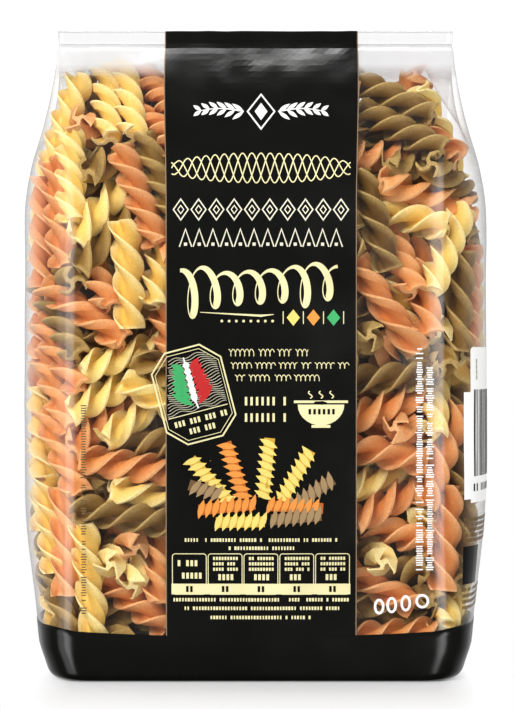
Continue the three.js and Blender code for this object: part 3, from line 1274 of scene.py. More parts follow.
# Kinds of the attributes that each spiral's point carries.
POINT_KINDS = {
    "axis": "FLOAT_VECTOR",
    "roll": "FLOAT",
    "stretch": "FLOAT",
    "mould": "INT",
    "tint": "FLOAT",
}


@dataclass
class PastaFill:
    """The packet's contents: spirals of three colours, one mesh for each colour."""

    packer: SpiralPacker = field(default_factory=SpiralPacker)
    seed: int = 4
    hidden_depth: float = 16.0
    least_tint: float = 0.1
    most_tint: float = 0.75
    fine_moulds: tuple[SpiralMould, ...] = (
        SpiralMould(pitch=24.0, bow=0.5),
        SpiralMould(pitch=29.0, bow=0.8, curl=70.0),
        SpiralMould(pitch=26.0, bow=-0.4, curl=84.0),
        SpiralMould(pitch=32.0, bow=0.8, radius=5.0),
        SpiralMould(pitch=25.0, bow=0.2, curl=74.0),
    )
    coarse_moulds: tuple[SpiralMould, ...] = (
        SpiralMould(steps=14, coarse=True, pitch=23.0),
        SpiralMould(steps=14, coarse=True, pitch=27.0),
    )

    def tree(self) -> NodeTree:
        """A tree that sets a moulded spiral on every point, by the point's attributes."""
        tree = node_group(
            "spirals on points",
            "GeometryNodeTree",
            {
                "Points": "NodeSocketGeometry",
                "Moulds": "NodeSocketCollection",
                "Girth": FLOAT,
                "Dough": "NodeSocketMaterial",
            },
            {"Geometry": "NodeSocketGeometry"},
        )
        weaver = NodeWeaver(tree)
        given = weaver.add("NodeGroupInput").outputs
        read = {}
        for label in ("axis", "roll", "stretch", "mould"):
            kind = POINT_KINDS[label]
            node = weaver.add("GeometryNodeInputNamedAttribute", {"Name": label}, data_type=kind)
            read[label] = live_socket(node.outputs, "Attribute")
        aim = weaver.add("FunctionNodeAlignRotationToVector", {"Vector": read["axis"]}, axis="Z")
        roll = {"Axis": (0.0, 0.0, 1.0), "Angle": read["roll"]}
        spin = weaver.add("FunctionNodeAxisAngleToRotation", roll)
        turned = weaver.add(
            "FunctionNodeRotateRotation",
            {"Rotation": aim, "Rotate By": spin},
            rotation_space="LOCAL",
        )
        size = {"X": given["Girth"], "Y": given["Girth"], "Z": read["stretch"]}
        scale = weaver.add("ShaderNodeCombineXYZ", size)
        moulds = weaver.add(
            "GeometryNodeCollectionInfo",
            {"Collection": given["Moulds"], "Separate Children": True, "Reset Children": True},
        )
        copies = weaver.add(
            "GeometryNodeInstanceOnPoints",
            {
                "Points": given["Points"],
                "Instance": moulds,
                "Pick Instance": True,
                "Instance Index": read["mould"],
                "Rotation": turned,
                "Scale": scale,
            },
        )
        weaver.realize(copies, given["Dough"])
        return tree

    def build(self, groups: Groups) -> None:
        """Pack the spirals, make one mesh for each colour and dress it."""
        rods, seen = self.packer.pack()
        rng = np.random.default_rng(self.seed)
        count = len(rods.half)
        doughs = rng.permutation(count) % len(Dough)
        doughs[: len(seen)] = seen
        room = self.packer.clearances(rods.middle)[:3].min(axis=0)
        hidden = room > self.hidden_depth
        fine = rng.integers(0, len(self.fine_moulds), count)
        coarse = len(self.fine_moulds) + rng.integers(0, len(self.coarse_moulds), count)
        values = {
            "axis": rods.direction,
            "roll": rng.uniform(0.0, 2 * math.pi, count),
            "stretch": 2 * rods.half / SpiralMould.length * MM,
            "mould": np.where(hidden, coarse, fine),
            "tint": rng.uniform(self.least_tint, self.most_tint, count),
        }
        collection = bpy.data.collections.new("moulds")
        every_mould = (*self.fine_moulds, *self.coarse_moulds)
        moulds = [mould.build(f"mould {i}") for i, mould in enumerate(every_mould)]
        for mould in moulds:
            bpy.context.scene.collection.objects.unlink(mould)
            collection.objects.link(mould)
        tree = self.tree()
        slots = (Slot.YELLOW, Slot.ORANGE, Slot.GREEN)
        for dough, finish, slot in zip(Dough, PASTA_FINISHES, slots):
            chosen = doughs == dough.value
            material = finish.material(groups)
            bed = make_object("bed", rods.middle[chosen], [])
            for label, value in values.items():
                attribute = bed.data.attributes.new(label, POINT_KINDS[label], "POINT")
                key = "vector" if label == "axis" else "value"
                attribute.data.foreach_set(key, np.asarray(value[chosen]).ravel())
            mesh = run_nodes(bed, tree, {"Moulds": collection, "Girth": MM, "Dough": material})
            mesh.name = f"spirals_{dough.name.lower()}"
            piece = bpy.data.objects.new(mesh.name, mesh)
            bpy.context.scene.collection.objects.link(piece)
            bpy.data.objects.remove(bed)
            finish_piece(piece, material)
        for mould in moulds:
            bpy.data.objects.remove(mould)
        bpy.data.collections.remove(collection)


PASTA_FINISHES = (
    PastaFinish("yellow pasta", (0.93, 0.67, 0.180), (0.85, 0.50, 0.082), (0.97, 0.85, 0.44)),
    PastaFinish("orange pasta", (0.79, 0.318, 0.088), (0.62, 0.172, 0.038), (0.90, 0.51, 0.23)),
    PastaFinish("green pasta", (0.275, 0.147, 0.024), (0.132, 0.056, 0.007), (0.60, 0.42, 0.15)),
)


@dataclass
class FilmBag:
    """The clear film: the bag's wall, its folded top and the seal up the back."""

    film: FilmSurface
    panel_steps: int = 44
    crease_steps: int = 8
    gusset_steps: int = 28
    row_height: float = 2.4
    low_z: float = 0.6
    high_z: float = 208.5
    flap_columns: int = 66
    flap_overlap: float = 0.4
    flap_taper: float = 0.98
    flap_gap: float = 0.25
    crimps: int = 8
    crimp_relief: float = 0.35
    end_seal: float = 10.0
    seal_width: float = 11.0
    seal_thickness: float = 0.7
    seal_pitch: float = 2.4
    seal_relief: float = 0.12

    def ring_places(self) -> Points:
        """Places round the bag, closer together at the creases."""
        panel = np.linspace(0.0, 2.0, self.panel_steps + 1)
        crease = np.linspace(2.0, 3.0, self.crease_steps + 1)
        gusset = np.linspace(3.0, 5.0, self.gusset_steps + 1)
        half = np.concatenate([panel[:-1], crease[:-1], gusset[:-1], crease[:-1] + 3.0])
        return np.concatenate([half, half + 6.0])

    def wall_piece(self) -> Object:
        """The wall as one closed skin."""
        places = self.ring_places()
        rows = round((self.high_z - self.low_z) / self.row_height) + 1
        u, z = np.meshgrid(places, np.linspace(self.low_z, self.high_z, rows))
        points = self.film.wall(u.ravel(), z.ravel())
        return make_object("film_wall", points, tube_faces(rows, len(places)))

    def flap_profile(self) -> Points:
        """Ways along the front path for the flap's outer face."""
        film = self.film
        start = film.bag.ridge_z - self.flap_overlap
        seal_start = film.front_length - self.end_seal
        fold = film.fold_ways
        down = np.linspace(fold[-1], seal_start, 9)[1:]
        crimped = np.linspace(seal_start, film.front_length, 4 * self.crimps + 1)[1:]
        return np.concatenate([[start, start + 1.5], fold, down, crimped])

    def folded_top(self) -> Object:
        """The folded top: a flat closed body from the ridge over the fold to the crimped end."""
        film = self.film
        ways = self.flap_profile()
        x = np.linspace(-film.fold_reach, film.fold_reach, self.flap_columns + 1)
        across, along = np.meshgrid(x, ways)
        seal_start = film.front_length - self.end_seal
        wave = np.sin((along - seal_start) / self.end_seal * 2 * math.pi * self.crimps)
        crimp = np.where(along > seal_start, self.crimp_relief * wave - self.crimp_relief, 0.0)
        outer = film.front(across.ravel(), along.ravel(), crimp.ravel())
        inner_z = np.linspace(film.flap_end_z, film.bag.ridge_z - self.flap_overlap, 8)
        across_in, z_in = np.meshgrid(x, inner_z)
        inner = film.back(across_in.ravel() * self.flap_taper, z_in.ravel(), self.flap_gap)
        inner[:, 0] = across_in.ravel()
        points = np.concatenate([outer, inner])
        rows, columns = len(ways) + len(inner_z), len(x)
        faces = grid_faces(rows, columns)
        last = (rows - 1) * columns
        faces += [(last + i, last + i + 1, i + 1, i) for i in range(columns - 1)]
        faces.append(tuple(r * columns for r in range(rows)))
        faces.append(tuple(r * columns + columns - 1 for r in reversed(range(rows))))
        return make_object("folded_top", points, faces)

    def back_seal(self) -> Object:
        """The lengthwise seal up the back, ribbed by its sealing jaws."""
        film = self.film
        heights = np.arange(film.bag.foot_z, film.bag.ridge_z - 1.0, self.seal_pitch / 4)
        across = np.array([0.0, 0.0, 0.33, 0.66, 1.0, 1.0]) * self.seal_width
        outer = np.array([0.02, 1.0, 1.0, 1.0, 1.0, 0.02])
        x, z = np.meshgrid(across, heights)
        wave = np.sin(2 * math.pi * z / self.seal_pitch) * self.seal_relief
        lift = np.tile(outer, (len(heights), 1)) * (self.seal_thickness + wave)
        points = film.back(x.ravel(), z.ravel(), lift.ravel())
        faces = [tuple(reversed(face)) for face in tube_faces(len(heights), len(across))]
        return make_object("back_seal", points, faces, smooth=False)

    def build(self, groups: Groups) -> None:
        """Make the film's pieces and dress them."""
        finish = ClearFilmFinish("clear film", top_haze=0.6).material(groups)
        finish_piece(self.wall_piece(), finish, hides_solid=True)
        layers = ClearFilmFinish("layered film", haze_high=0.0, edge_haze=0.1, clearness=0.972)
        finish_piece(self.folded_top(), layers.material(groups))
        finish_piece(self.back_seal(), finish)


@dataclass
class BlackPrint:
    """The black areas: the base band, the underside's folds and a strip front and back."""

    film: FilmSurface
    band_top: float = 15.3
    band_lap: float = 1.5
    end_margin: float = 0.6
    side_lift: float = 2.8
    band_inside: float = 0.015
    band_outside: float = 0.15
    strip_left: float = -28.2
    strip_right: float = 31.9
    border: float = 0.3
    splay: float = 0.062
    step: float = 2.2
    back_left: float = -24.0
    back_right: float = 24.0
    back_top: float = 183.0
    fold_gap: float = 0.4
    fold_depth: float = 0.35

    def widened(self, x: Points, s: Points) -> Points:
        """The strip spreads a little towards the flattened top."""
        bag = self.film.bag
        return x * (1 + self.splay * smoothstep(s, bag.shoulder_z, bag.ridge_z))

    def front_face(self, x: Points, s: Points, lift: Points) -> Points:
        """The front path with the strip's spread."""
        return self.film.front(self.widened(x, s), s, lift)

    def back_face(self, x: Points, z: Points, lift: Points) -> Points:
        """The back panel, across to the right as seen from behind."""
        return self.film.back(-x, z, lift)

    def front_strip(self) -> Object:
        """The strip up the front, over the fold and down the flap."""
        layout = Layout()
        layout.ink = Ink.BLACK
        low = self.band_top - self.band_lap
        high = self.film.front_length - self.end_margin
        layout.patch(self.strip_left, self.strip_right, low, high, self.step, self.film.fold_ways)
        return layout.press("front_strip", self.front_face, Layer.STRIP)

    def strip_borders(self) -> Object:
        """The tan lines beside the strip."""
        layout = Layout()
        layout.ink = Ink.TAN
        high = self.film.front_length - self.end_margin
        for left in (self.strip_left - self.border, self.strip_right):
            right, low = left + self.border, self.band_top - 0.5
            layout.patch(left, right, low, high, self.step, self.film.fold_ways)
        return layout.press("strip_borders", self.front_face, Layer.FILM)

    def back_strip(self) -> Object:
        """The strip up the back, ending below the flap."""
        layout = Layout()
        layout.ink = Ink.BLACK
        low = self.band_top - self.band_lap
        layout.patch(self.back_left, self.back_right, low, self.back_top, self.step)
        return layout.press("back_strip", self.back_face, Layer.STRIP)

    def band_edge(self, places: Points) -> Points:
        """Height of the band's top round the bag: it rises a little towards the sides."""
        from_panel = np.abs(np.mod(places + 2.0, 6.0) - 3.0)
        return self.band_top + self.side_lift * smoothstep(from_panel, 0.4, 1.7)

    def base_band(self, places: Points) -> Object:
        """The band round the foot with the rounded edge under it, as a thin closed tray."""
        rise = np.linspace(0.0, 1.0, 7)
        rounding = self.film.bag.base_round * (1 - np.cos(rise * math.pi / 2))
        share = np.linspace(0.0, 1.0, 7)[1:, None]
        wall = blend(self.film.bag.base_round, self.band_edge(places), share)
        u = np.broadcast_to(places, (len(rounding) + len(wall), len(places)))
        z = np.concatenate([np.broadcast_to(rounding[:, None], (len(rounding), len(places))), wall])
        outer = self.film.wall(u.ravel(), z.ravel(), self.band_outside)
        inner = self.film.wall(u.ravel(), z.ravel(), self.band_inside)
        outer[:, 2] = np.maximum(outer[:, 2], 0.0)
        inner[:, 2] = np.maximum(inner[:, 2], self.fold_depth)
        rows, count = u.shape
        faces = grid_faces(rows, count, closed=True)
        shift = rows * count
        faces += [tuple(shift + i for i in reversed(f)) for f in grid_faces(rows, count, closed=True)]
        top = (rows - 1) * count
        for i in range(count):
            j = (i + 1) % count
            faces.append((top + i, top + j, shift + top + j, shift + top + i))
            faces.append((j, i, shift + i, shift + j))
        return make_object("base_band", np.concatenate([outer, inner]), faces)

    def foot_ring(self, low: float, high: float, count: int) -> Points:
        """Points round the foot, between two places round the bag."""
        return self.film.bag.wall(np.linspace(low, high, count), np.zeros(count))[:, :2]

    def base_folds(self) -> Object:
        """The underside: two long folded panels over two short ones, and a sheet above them."""
        bag = self.film.bag
        ring = self.foot_ring
        seam_x = bag.base_width / 2 - bag.base_depth / 2
        gap = self.fold_gap
        front = [*ring(-0.45, 2.45, 40), (seam_x, -gap), (-seam_x, -gap)]
        back = [*ring(5.55, 8.45, 40), (-seam_x, gap), (seam_x, gap)]
        right = [*ring(2.5, 5.5, 30), (seam_x + 1.5, 0.0)]
        left = [*ring(8.5, 11.5, 30), (-seam_x - 1.5, 0.0)]
        points, faces = [], []
        sheets = ((front, 0.0, 0.3), (back, 0.0, 0.3), (right, 0.18, 0.3), (left, 0.18, 0.3))
        whole = ring(0.0, 12.0, 121)[:-1]
        for outline, low, high in (*sheets, (whole, 0.3, self.fold_depth + 0.2)):
            count, start = len(outline), len(points)
            points += [(a, b, low) for a, b in outline] + [(a, b, high) for a, b in outline]
            faces.append(tuple(start + i for i in reversed(range(count))))
            faces.append(tuple(start + count + i for i in range(count)))
            for i in range(count):
                j = (i + 1) % count
                faces.append((start + i, start + j, start + count + j, start + count + i))
        return make_object("base_folds", np.array(points), faces, smooth=False)

    def build(self, groups: Groups, places: Points) -> None:
        """Make the black pieces and dress them."""
        black = PrintFinish("black print", Ink.BLACK).material(groups)
        strips = (self.front_strip(), self.back_strip())
        for piece in (*strips, self.base_band(places), self.base_folds()):
            finish_piece(piece, black)
        tan = PrintFinish("tan border", Ink.TAN).material(groups)
        finish_piece(self.strip_borders(), tan)


def leaf_path(length: float, width: float, steps: int = 6) -> Outline:
    """A pointed leaf's outline, from the origin along the first axis."""
    shares = np.linspace(0.0, 1.0, steps + 1)
    upper = [(length * t, width / 2 * math.sin(math.pi * t)) for t in shares]
    lower = [(length * t, -width / 2 * math.sin(math.pi * t)) for t in shares[-2:0:-1]]
    return upper[::-1] + lower[::-1]


def box_stamp(wide: float, tall: float) -> Stamp:
    """A small filled rectangle about its own middle."""
    a, b = wide / 2, tall / 2
    return [(-a, -b), (a, -b), (a, b), (-a, b)], [(0, 1, 2, 3)]


def ring_stamp(wide: float, tall: float, line: float, sides: int) -> Stamp:
    """A small outlined polygon about its own middle, a rhombus when it has four sides."""
    layout = Layout()
    layout.stroke(loop_path(0.0, 0.0, wide / 2, tall / 2, sides), line, closed=True)
    return layout.points, layout.faces


def chevron_stamp(wide: float, tall: float, line: float) -> Stamp:
    """A small open chevron about its own middle."""
    layout = Layout()
    layout.stroke([(-wide / 2, -tall / 2), (0.0, tall / 2), (wide / 2, -tall / 2)], line)
    return layout.points, layout.faces


@dataclass
class FrontPrint:
    """The pale print on the black strip: a generic set of ornaments, rows and a small table."""

    rows: StampRows
    left: float = -26.5
    right: float = 30.0
    fine: float = 0.28
    line: float = 0.42

    @property
    def middle(self) -> float:
        """The middle of the printed width."""
        return (self.left + self.right) / 2

    def crest(self, layout: Layout, z: float = 183.5) -> None:
        """A white lozenge between two sprays of leaves."""
        layout.ink = Ink.WHITE
        x = self.middle
        layout.stroke(loop_path(x, z, 4.2, 6.0, 4), 0.5, closed=True)
        layout.polygon(loop_path(x, z, 2.0, 3.0, 4))
        for side in (-1, 1):
            stem = [
                (x + side * (5.4 + 14.6 * t), z + 1.1 * math.sin(math.pi * t))
                for t in np.linspace(0, 1, 12)
            ]
            layout.stroke(stem, np.linspace(0.5, 0.25, 12))
            for k in range(6):
                root_x, root_z = stem[2 * k]
                for lean in (-38, 38):
                    angle = lean if side > 0 else 180 - lean
                    layout.polygon(placed(leaf_path(4.6 - 0.3 * k, 1.3), root_x, root_z, angle))

    def braid(self, layout: Layout, z: float = 164.3) -> None:
        """Thin interlaced waves."""
        layout.ink = Ink.CREAM
        x = np.linspace(self.left, self.right, 181)
        share = (x - self.left) / (self.right - self.left)
        swell = 4.9 * np.sin(math.pi * np.clip(share, 0.03, 0.97)) ** 0.35
        for shift in (0.0, 1 / 3, 2 / 3):
            wave = z + swell * np.sin(2 * math.pi * (6.5 * share + shift))
            layout.stroke(list(zip(x, wave)), 0.36)

    def pattern_rows(self, layout: Layout) -> None:
        """Two rows of outlined figures."""
        layout.ink = Ink.PALE
        rhombus = ring_stamp(4.7, 6.6, 0.40, 4)
        small = ring_stamp(1.9, 2.6, 0.30, 4)
        for stamp, low, high, pitch in (
            (rhombus, 147.6, 154.2, 5.65),
            (small, 147.6, 154.2, 5.65),
            (chevron_stamp(3.9, 5.6, 0.42), 138.9, 144.9, 4.35),
            (box_stamp(1.0, 1.0), 138.4, 141.4, 4.35),
        ):
            self.rows.fill(layout, stamp, self.left, self.right, low, high, pitch)

    def flourish(self, layout: Layout) -> None:
        """A bold looping ribbon, thick on its way down and thin on its way up."""
        layout.ink = Ink.CREAM
        turns = 7.0
        t = np.linspace(0.0, 1.0, 300)
        angle = 2 * math.pi * turns * t
        tall = 5.0 + 3.2 * np.exp(-((t - 0.08) / 0.10) ** 2) + 2.0 * np.exp(-((t - 0.80) / 0.08) ** 2)
        x = self.left + 2.6 + (self.right - self.left - 6.5) * t + 2.7 * np.sin(angle)
        z = 126.4 + tall * np.cos(angle) + 0.12 * (x - self.middle) * 0.5
        drop = -np.gradient(z) / np.sqrt(np.gradient(x) ** 2 + np.gradient(z) ** 2)
        layout.stroke(list(zip(x, z)), 1.25 + 0.95 * drop)
        tail = [(self.left + 9, 118.3), (self.middle, 117.2), (self.middle + 4, 117.6)]
        layout.stroke(tail, (0.2, 0.7, 0.2))

    def dots(self, layout: Layout) -> None:
        """A row of dots that leads to three coloured lozenges between short rules."""
        layout.ink = Ink.CREAM
        dot = (loop_path(0.0, 0.0, 0.45, 0.45, 8), [tuple(range(8))])
        self.rows.fill(layout, dot, -11.8, 6.6, 114.9, 116.1, 2.3)
        for k, ink in enumerate((Ink.YELLOW_PASTA, Ink.ORANGE_PASTA, Ink.GREEN)):
            layout.ink = ink
            layout.polygon(loop_path(12.0 + 6.4 * k, 116.6, 2.1, 2.6, 4))
        layout.ink = Ink.CREAM
        for k in range(4):
            layout.stroke([(8.8 + 6.4 * k, 114.6), (8.8 + 6.4 * k, 118.6)], self.fine)

    def scrawl(self, layout: Layout, left: float, right: float, z: float, tall: float, seed: int) -> None:
        """A row of short looping lines of uneven lengths."""
        rng = np.random.default_rng(seed)
        start = left
        while start < right - 2.0:
            length = min(rng.uniform(3.0, 8.5), right - start)
            count = max(10, round(length * 6))
            t = np.linspace(0.0, 1.0, count)
            angle = 2 * math.pi * t * length / 1.45
            x = start + length * t + 0.35 * np.sin(angle)
            layout.stroke(list(zip(x, z + tall / 2 * np.cos(angle))), 0.24)
            start += length + 1.3

    def badge(self, layout: Layout, x: float = -19.6, z: float = 92.2, tilt: float = 14.6) -> None:
        """A tilted eight-sided stamp with fine waves, an ear of grain and a ruled foot."""
        wide, tall, cut_x, cut_z = 11.3, 14.9, 5.6, 5.4
        corners = []
        for turn_x, turn_z in ((1, 1), (-1, 1), (-1, -1), (1, -1)):
            pair = [(turn_x * wide, turn_z * (tall - cut_z)), (turn_x * (wide - cut_x), turn_z * tall)]
            corners += pair if turn_x * turn_z > 0 else pair[::-1]
        layout.ink, layout.level = Ink.CREAM, 0.04
        layout.stroke(placed(corners, x, z, tilt), 0.5, closed=True)
        layout.stroke(placed(corners, x, z, tilt, 0.92), 0.2, closed=True)
        layout.ink = Ink.GREY
        for k in range(22):
            height = -4.6 + 0.8 * k
            reach = wide - max(0.0, abs(height) - (tall - cut_z)) * cut_x / cut_z - 1.6
            across = np.linspace(-reach, reach, 26)
            line = [(a, height + 0.45 * math.sin(a * 0.9 + k / 2)) for a in across]
            on_strip = [p for p in placed(line, x, z, tilt) if p[0] > self.left - 1.5]
            layout.stroke(on_strip, 0.22)
        layout.level = 0.08
        self.grain_ear(layout, x, z, tilt)
        layout.ink = Ink.CREAM
        layout.stroke(placed([(-wide + 1.6, -5.6), (wide - 1.6, -5.6)], x, z, tilt), 0.28)
        for row, (reach, step) in enumerate(((8.2, 1.25), (5.4, 1.25))):
            height = -8.0 - 3.1 * row
            for a in np.arange(-reach, reach, step):
                low, high = height - 0.9, height + 0.9
                mark = [(a, low), (a + 0.75, low), (a + 0.75, high), (a, high)]
                if round(a / step) % 4:
                    layout.polygon(placed(mark, x, z, tilt))
        layout.level = 0.0

    def grain_ear(self, layout: Layout, x: float, z: float, tilt: float) -> None:
        """An ear of grain, green on its left, white in its middle and red on its right."""
        layout.ink = Ink.WHITE
        layout.stroke(placed([(0.4, -4.6), (-0.4, 2.0), (-0.2, 12.2)], x, z, tilt), (0.5, 0.7, 0.4))
        for k in range(6):
            height = -3.4 + 2.2 * k
            size = 8.0 - 0.6 * k
            layout.ink = Ink.GREEN
            layout.polygon(placed(placed(leaf_path(size, 2.3), -0.8, height, 138), x, z, tilt))
            layout.ink = Ink.RED
            layout.polygon(placed(placed(leaf_path(size, 2.3), 0.8, height, 42), x, z, tilt))
            layout.ink = Ink.WHITE
            layout.polygon(placed(placed(leaf_path(size * 0.5, 2.2), 0.0, height + 0.7, 90), x, z, tilt))

    def bowl(self, layout: Layout, x: float = 20.8, z: float = 86.6) -> None:
        """A filled bowl under a rule, with two small waves and a dark band."""
        layout.ink = Ink.CREAM
        rim = [(x - 7.6, z + 2.6), (x + 7.6, z + 2.6)]
        layout.polygon([*arc_path(x, z + 2.4, 7.4, 6.6, 180.0, 360.0, 15)])
        layout.stroke([(rim[0][0] - 1.0, z + 3.3), (rim[1][0] + 1.0, z + 3.3)], 0.8)
        layout.stroke([(x - 3.0, z - 4.5), (x + 3.0, z - 4.5)], 0.9)
        for shift in (-3.4, 0.0, 3.4):
            rise = np.linspace(0, 1, 8)
            wave = [(x + shift + 0.6 * math.sin(6.0 * t), z + 4.4 + 2.3 * t) for t in rise]
            layout.stroke(wave, 0.38)
        layout.ink, layout.level = Ink.BLACK, 0.04
        self.rows.fill(layout, box_stamp(0.8, 1.7), x - 5.0, x + 5.4, z - 1.1, z + 1.4, 1.5)
        layout.level = 0.0

    def corkscrew(
        self, layout: Layout, x: float, z: float, degrees: float, length: float, light: Ink,
        shade: Ink,
    ) -> None:
        """A flat corkscrew: slanted leaves on a darker core."""
        wide, step = 5.6, 2.35
        layout.ink, layout.level = shade, layout.level + 0.012
        core = [(0.5, -1.7), (length - 0.5, -1.7), (length - 0.5, 1.7), (0.5, 1.7)]
        layout.polygon(placed(core, x, z, degrees))
        layout.ink, layout.level = light, layout.level + 0.012
        for k in range(int(length / step)):
            blade = placed(leaf_path(wide * 1.15, 2.0), step * k + 0.1, -wide / 2, 68)
            layout.polygon(placed(blade, x, z, degrees))

    def fan(self, layout: Layout) -> None:
        """A fan of corkscrews in the three colours, the front ones lying across its foot."""
        yellow = (Ink.YELLOW_PASTA, Ink.YELLOW_SHADE)
        orange = (Ink.ORANGE_PASTA, Ink.ORANGE_SHADE)
        brown = (Ink.BROWN_PASTA, Ink.BROWN_SHADE)
        pieces = (
            (-8.0, 58.0, 132.0, 19.0, *yellow),
            (-3.5, 59.0, 108.0, 19.5, *orange),
            (2.5, 59.0, 84.0, 20.0, *yellow),
            (8.0, 58.0, 60.0, 19.5, *yellow),
            (11.0, 56.0, 34.0, 17.0, *brown),
            (-11.0, 60.5, 163.0, 11.0, *brown),
            (-18.5, 55.5, 6.0, 19.0, *orange),
            (3.5, 57.0, -3.0, 18.5, *orange),
            (-13.0, 51.6, 1.0, 16.5, *yellow),
            (4.5, 52.4, 5.0, 17.0, *brown),
        )
        for piece in pieces:
            self.corkscrew(layout, *piece)
        layout.level = 0.0

    def table(self, layout: Layout) -> None:
        """Five ruled cells with rows of marks and a filled foot."""
        fill = self.rows.fill
        edges = np.linspace(self.left - 0.2, self.right + 0.2, 6)
        low, foot, high = 28.6, 32.0, 41.6
        layout.ink = Ink.CREAM
        layout.patch(edges[0], edges[-1], low, foot)
        for left, right in zip(edges[:-1], edges[1:]):
            cell = []
            inner_left, inner_right = left + 0.3, right - 0.3
            corners = (
                (inner_right, high, 0), (inner_left, high, 90),
                (inner_left, low, 180), (inner_right, low, 270),
            )
            for x, z, start in corners:
                inward_x = x - 0.9 if start in (0, 270) else x + 0.9
                inward_z = z - 0.9 if start in (0, 90) else z + 0.9
                cell += arc_path(inward_x, inward_z, 0.9, 0.9, start, start + 90, 5)
            layout.stroke(cell, 0.26, closed=True)
        tiny, large = box_stamp(0.62, 1.0), box_stamp(0.85, 1.9)
        for k, (left, right) in enumerate(zip(edges[:-1], edges[1:])):
            start, end = left + 1.4, right - 1.2
            layout.ink = Ink.CREAM
            if k == 0:
                fill(layout, large, start, end, 32.6, 40.6, 1.35, rows=2, keep=0.8, seed=3)
            else:
                fill(layout, tiny, start, end, 35.8, 41.0, 0.9, rows=3, keep=0.86, seed=10 + k)
                start, end = start + 1.6, end - 1.4
                fill(layout, large, start, end, 32.6, 35.6, 1.3, keep=0.9, seed=20 + k)
            layout.ink, layout.level = Ink.BLACK, 0.04
            start, end = (left + right) / 2 - 1.9, (left + right) / 2 + 1.9
            fill(layout, box_stamp(0.8, 1.9), start, end, low + 0.3, foot - 0.3, 1.3)
            layout.level = 0.0

    def small_rows(self, layout: Layout) -> None:
        """Rows of tiny marks above and below the table."""
        layout.ink = Ink.CREAM
        tiny = box_stamp(0.6, 1.1)
        for left, right, low, high, seed in (
            (-22.8, 26.3, 44.7, 47.3, 31),
            (-9.7, 13.6, 42.3, 44.5, 32),
            (self.left, self.right, 25.8, 27.9, 33),
            (-24.1, 27.3, 23.0, 25.2, 34),
            (-14.5, 17.7, 19.9, 22.4, 35),
        ):
            uneven = {"short": 0.7, "long": 1.2, "keep": 0.85, "seed": seed}
            self.rows.fill(layout, tiny, left, right, low, high, 0.92, **uneven)
        bars = box_stamp(0.75, 2.7)
        self.rows.fill(layout, bars, -4.3, 10.6, 88.0, 92.2, 1.75, keep=0.9, seed=41)
        self.rows.fill(layout, bars, -4.3, 10.6, 82.8, 87.0, 1.75, keep=0.95, seed=42)

    def build(self, groups: Groups, face: Face) -> None:
        """Lay out the print, press it on the strip and dress it."""
        layout = Layout()
        self.crest(layout)
        self.braid(layout)
        self.pattern_rows(layout)
        self.flourish(layout)
        self.dots(layout)
        layout.ink = Ink.CREAM
        self.scrawl(layout, -8.5, 18.0, 105.5, 2.2, 51)
        self.scrawl(layout, -7.8, 29.4, 101.4, 1.9, 52)
        self.scrawl(layout, -6.5, 22.8, 97.5, 1.9, 53)
        self.badge(layout)
        self.bowl(layout)
        self.fan(layout)
        self.small_rows(layout)
        self.table(layout)
        piece = layout.press("front_print", face, Layer.OVER_STRIP)
        finish_piece(piece, PrintFinish("front print").material(groups))


@dataclass
class FilmPrint:
    """Small print straight on the clear film, white on the right and dark on the left."""

    rows: StampRows

    def white_marks(self) -> Layout:
        """Four rounded figures low on the right, above them two upright columns of marks."""
        layout = Layout()
        layout.ink = Ink.WHITE
        for x, wide, tall in ((39.4, 1.3, 2.1), (43.4, 1.3, 2.2), (47.9, 1.3, 2.2), (53.2, 1.8, 1.9)):
            z = 24.6 + 0.12 * (x - 39.4)
            layout.stroke(loop_path(x, z, wide, tall, 24), 0.8, closed=True)
        upright = box_stamp(2.7, 0.42)
        for left, high, seed in ((50.9, 107.8, 61), (54.2, 101.0, 62)):
            rows = round((high - 36.0) / 0.74)
            uneven = {"rows": rows, "short": 0.5, "keep": 0.86, "seed": seed}
            self.rows.fill(layout, upright, left, left + 2.7, 36.0, high, 3.0, **uneven)
        return layout

    def dark_marks(self) -> Layout:
        """An upright column of tiny dark marks."""
        layout = Layout()
        layout.ink = Ink.BROWN
        uneven = {"rows": 82, "short": 0.6, "keep": 0.85, "seed": 63}
        self.rows.fill(layout, box_stamp(1.9, 0.42), -55.8, -53.7, 22.0, 89.0, 2.1, **uneven)
        return layout

    def build(self, groups: Groups, film: FilmSurface) -> None:
        """Press both layouts on the film and dress them."""
        for name, layout, slot in (
            ("film_print_white", self.white_marks(), Slot.WHITE),
            ("film_print_dark", self.dark_marks(), Slot.BLACK),
        ):
            piece = layout.press(name, film.front, Layer.FILM)
            finish_piece(piece, PrintFinish(name.replace("_", " ")).material(groups))


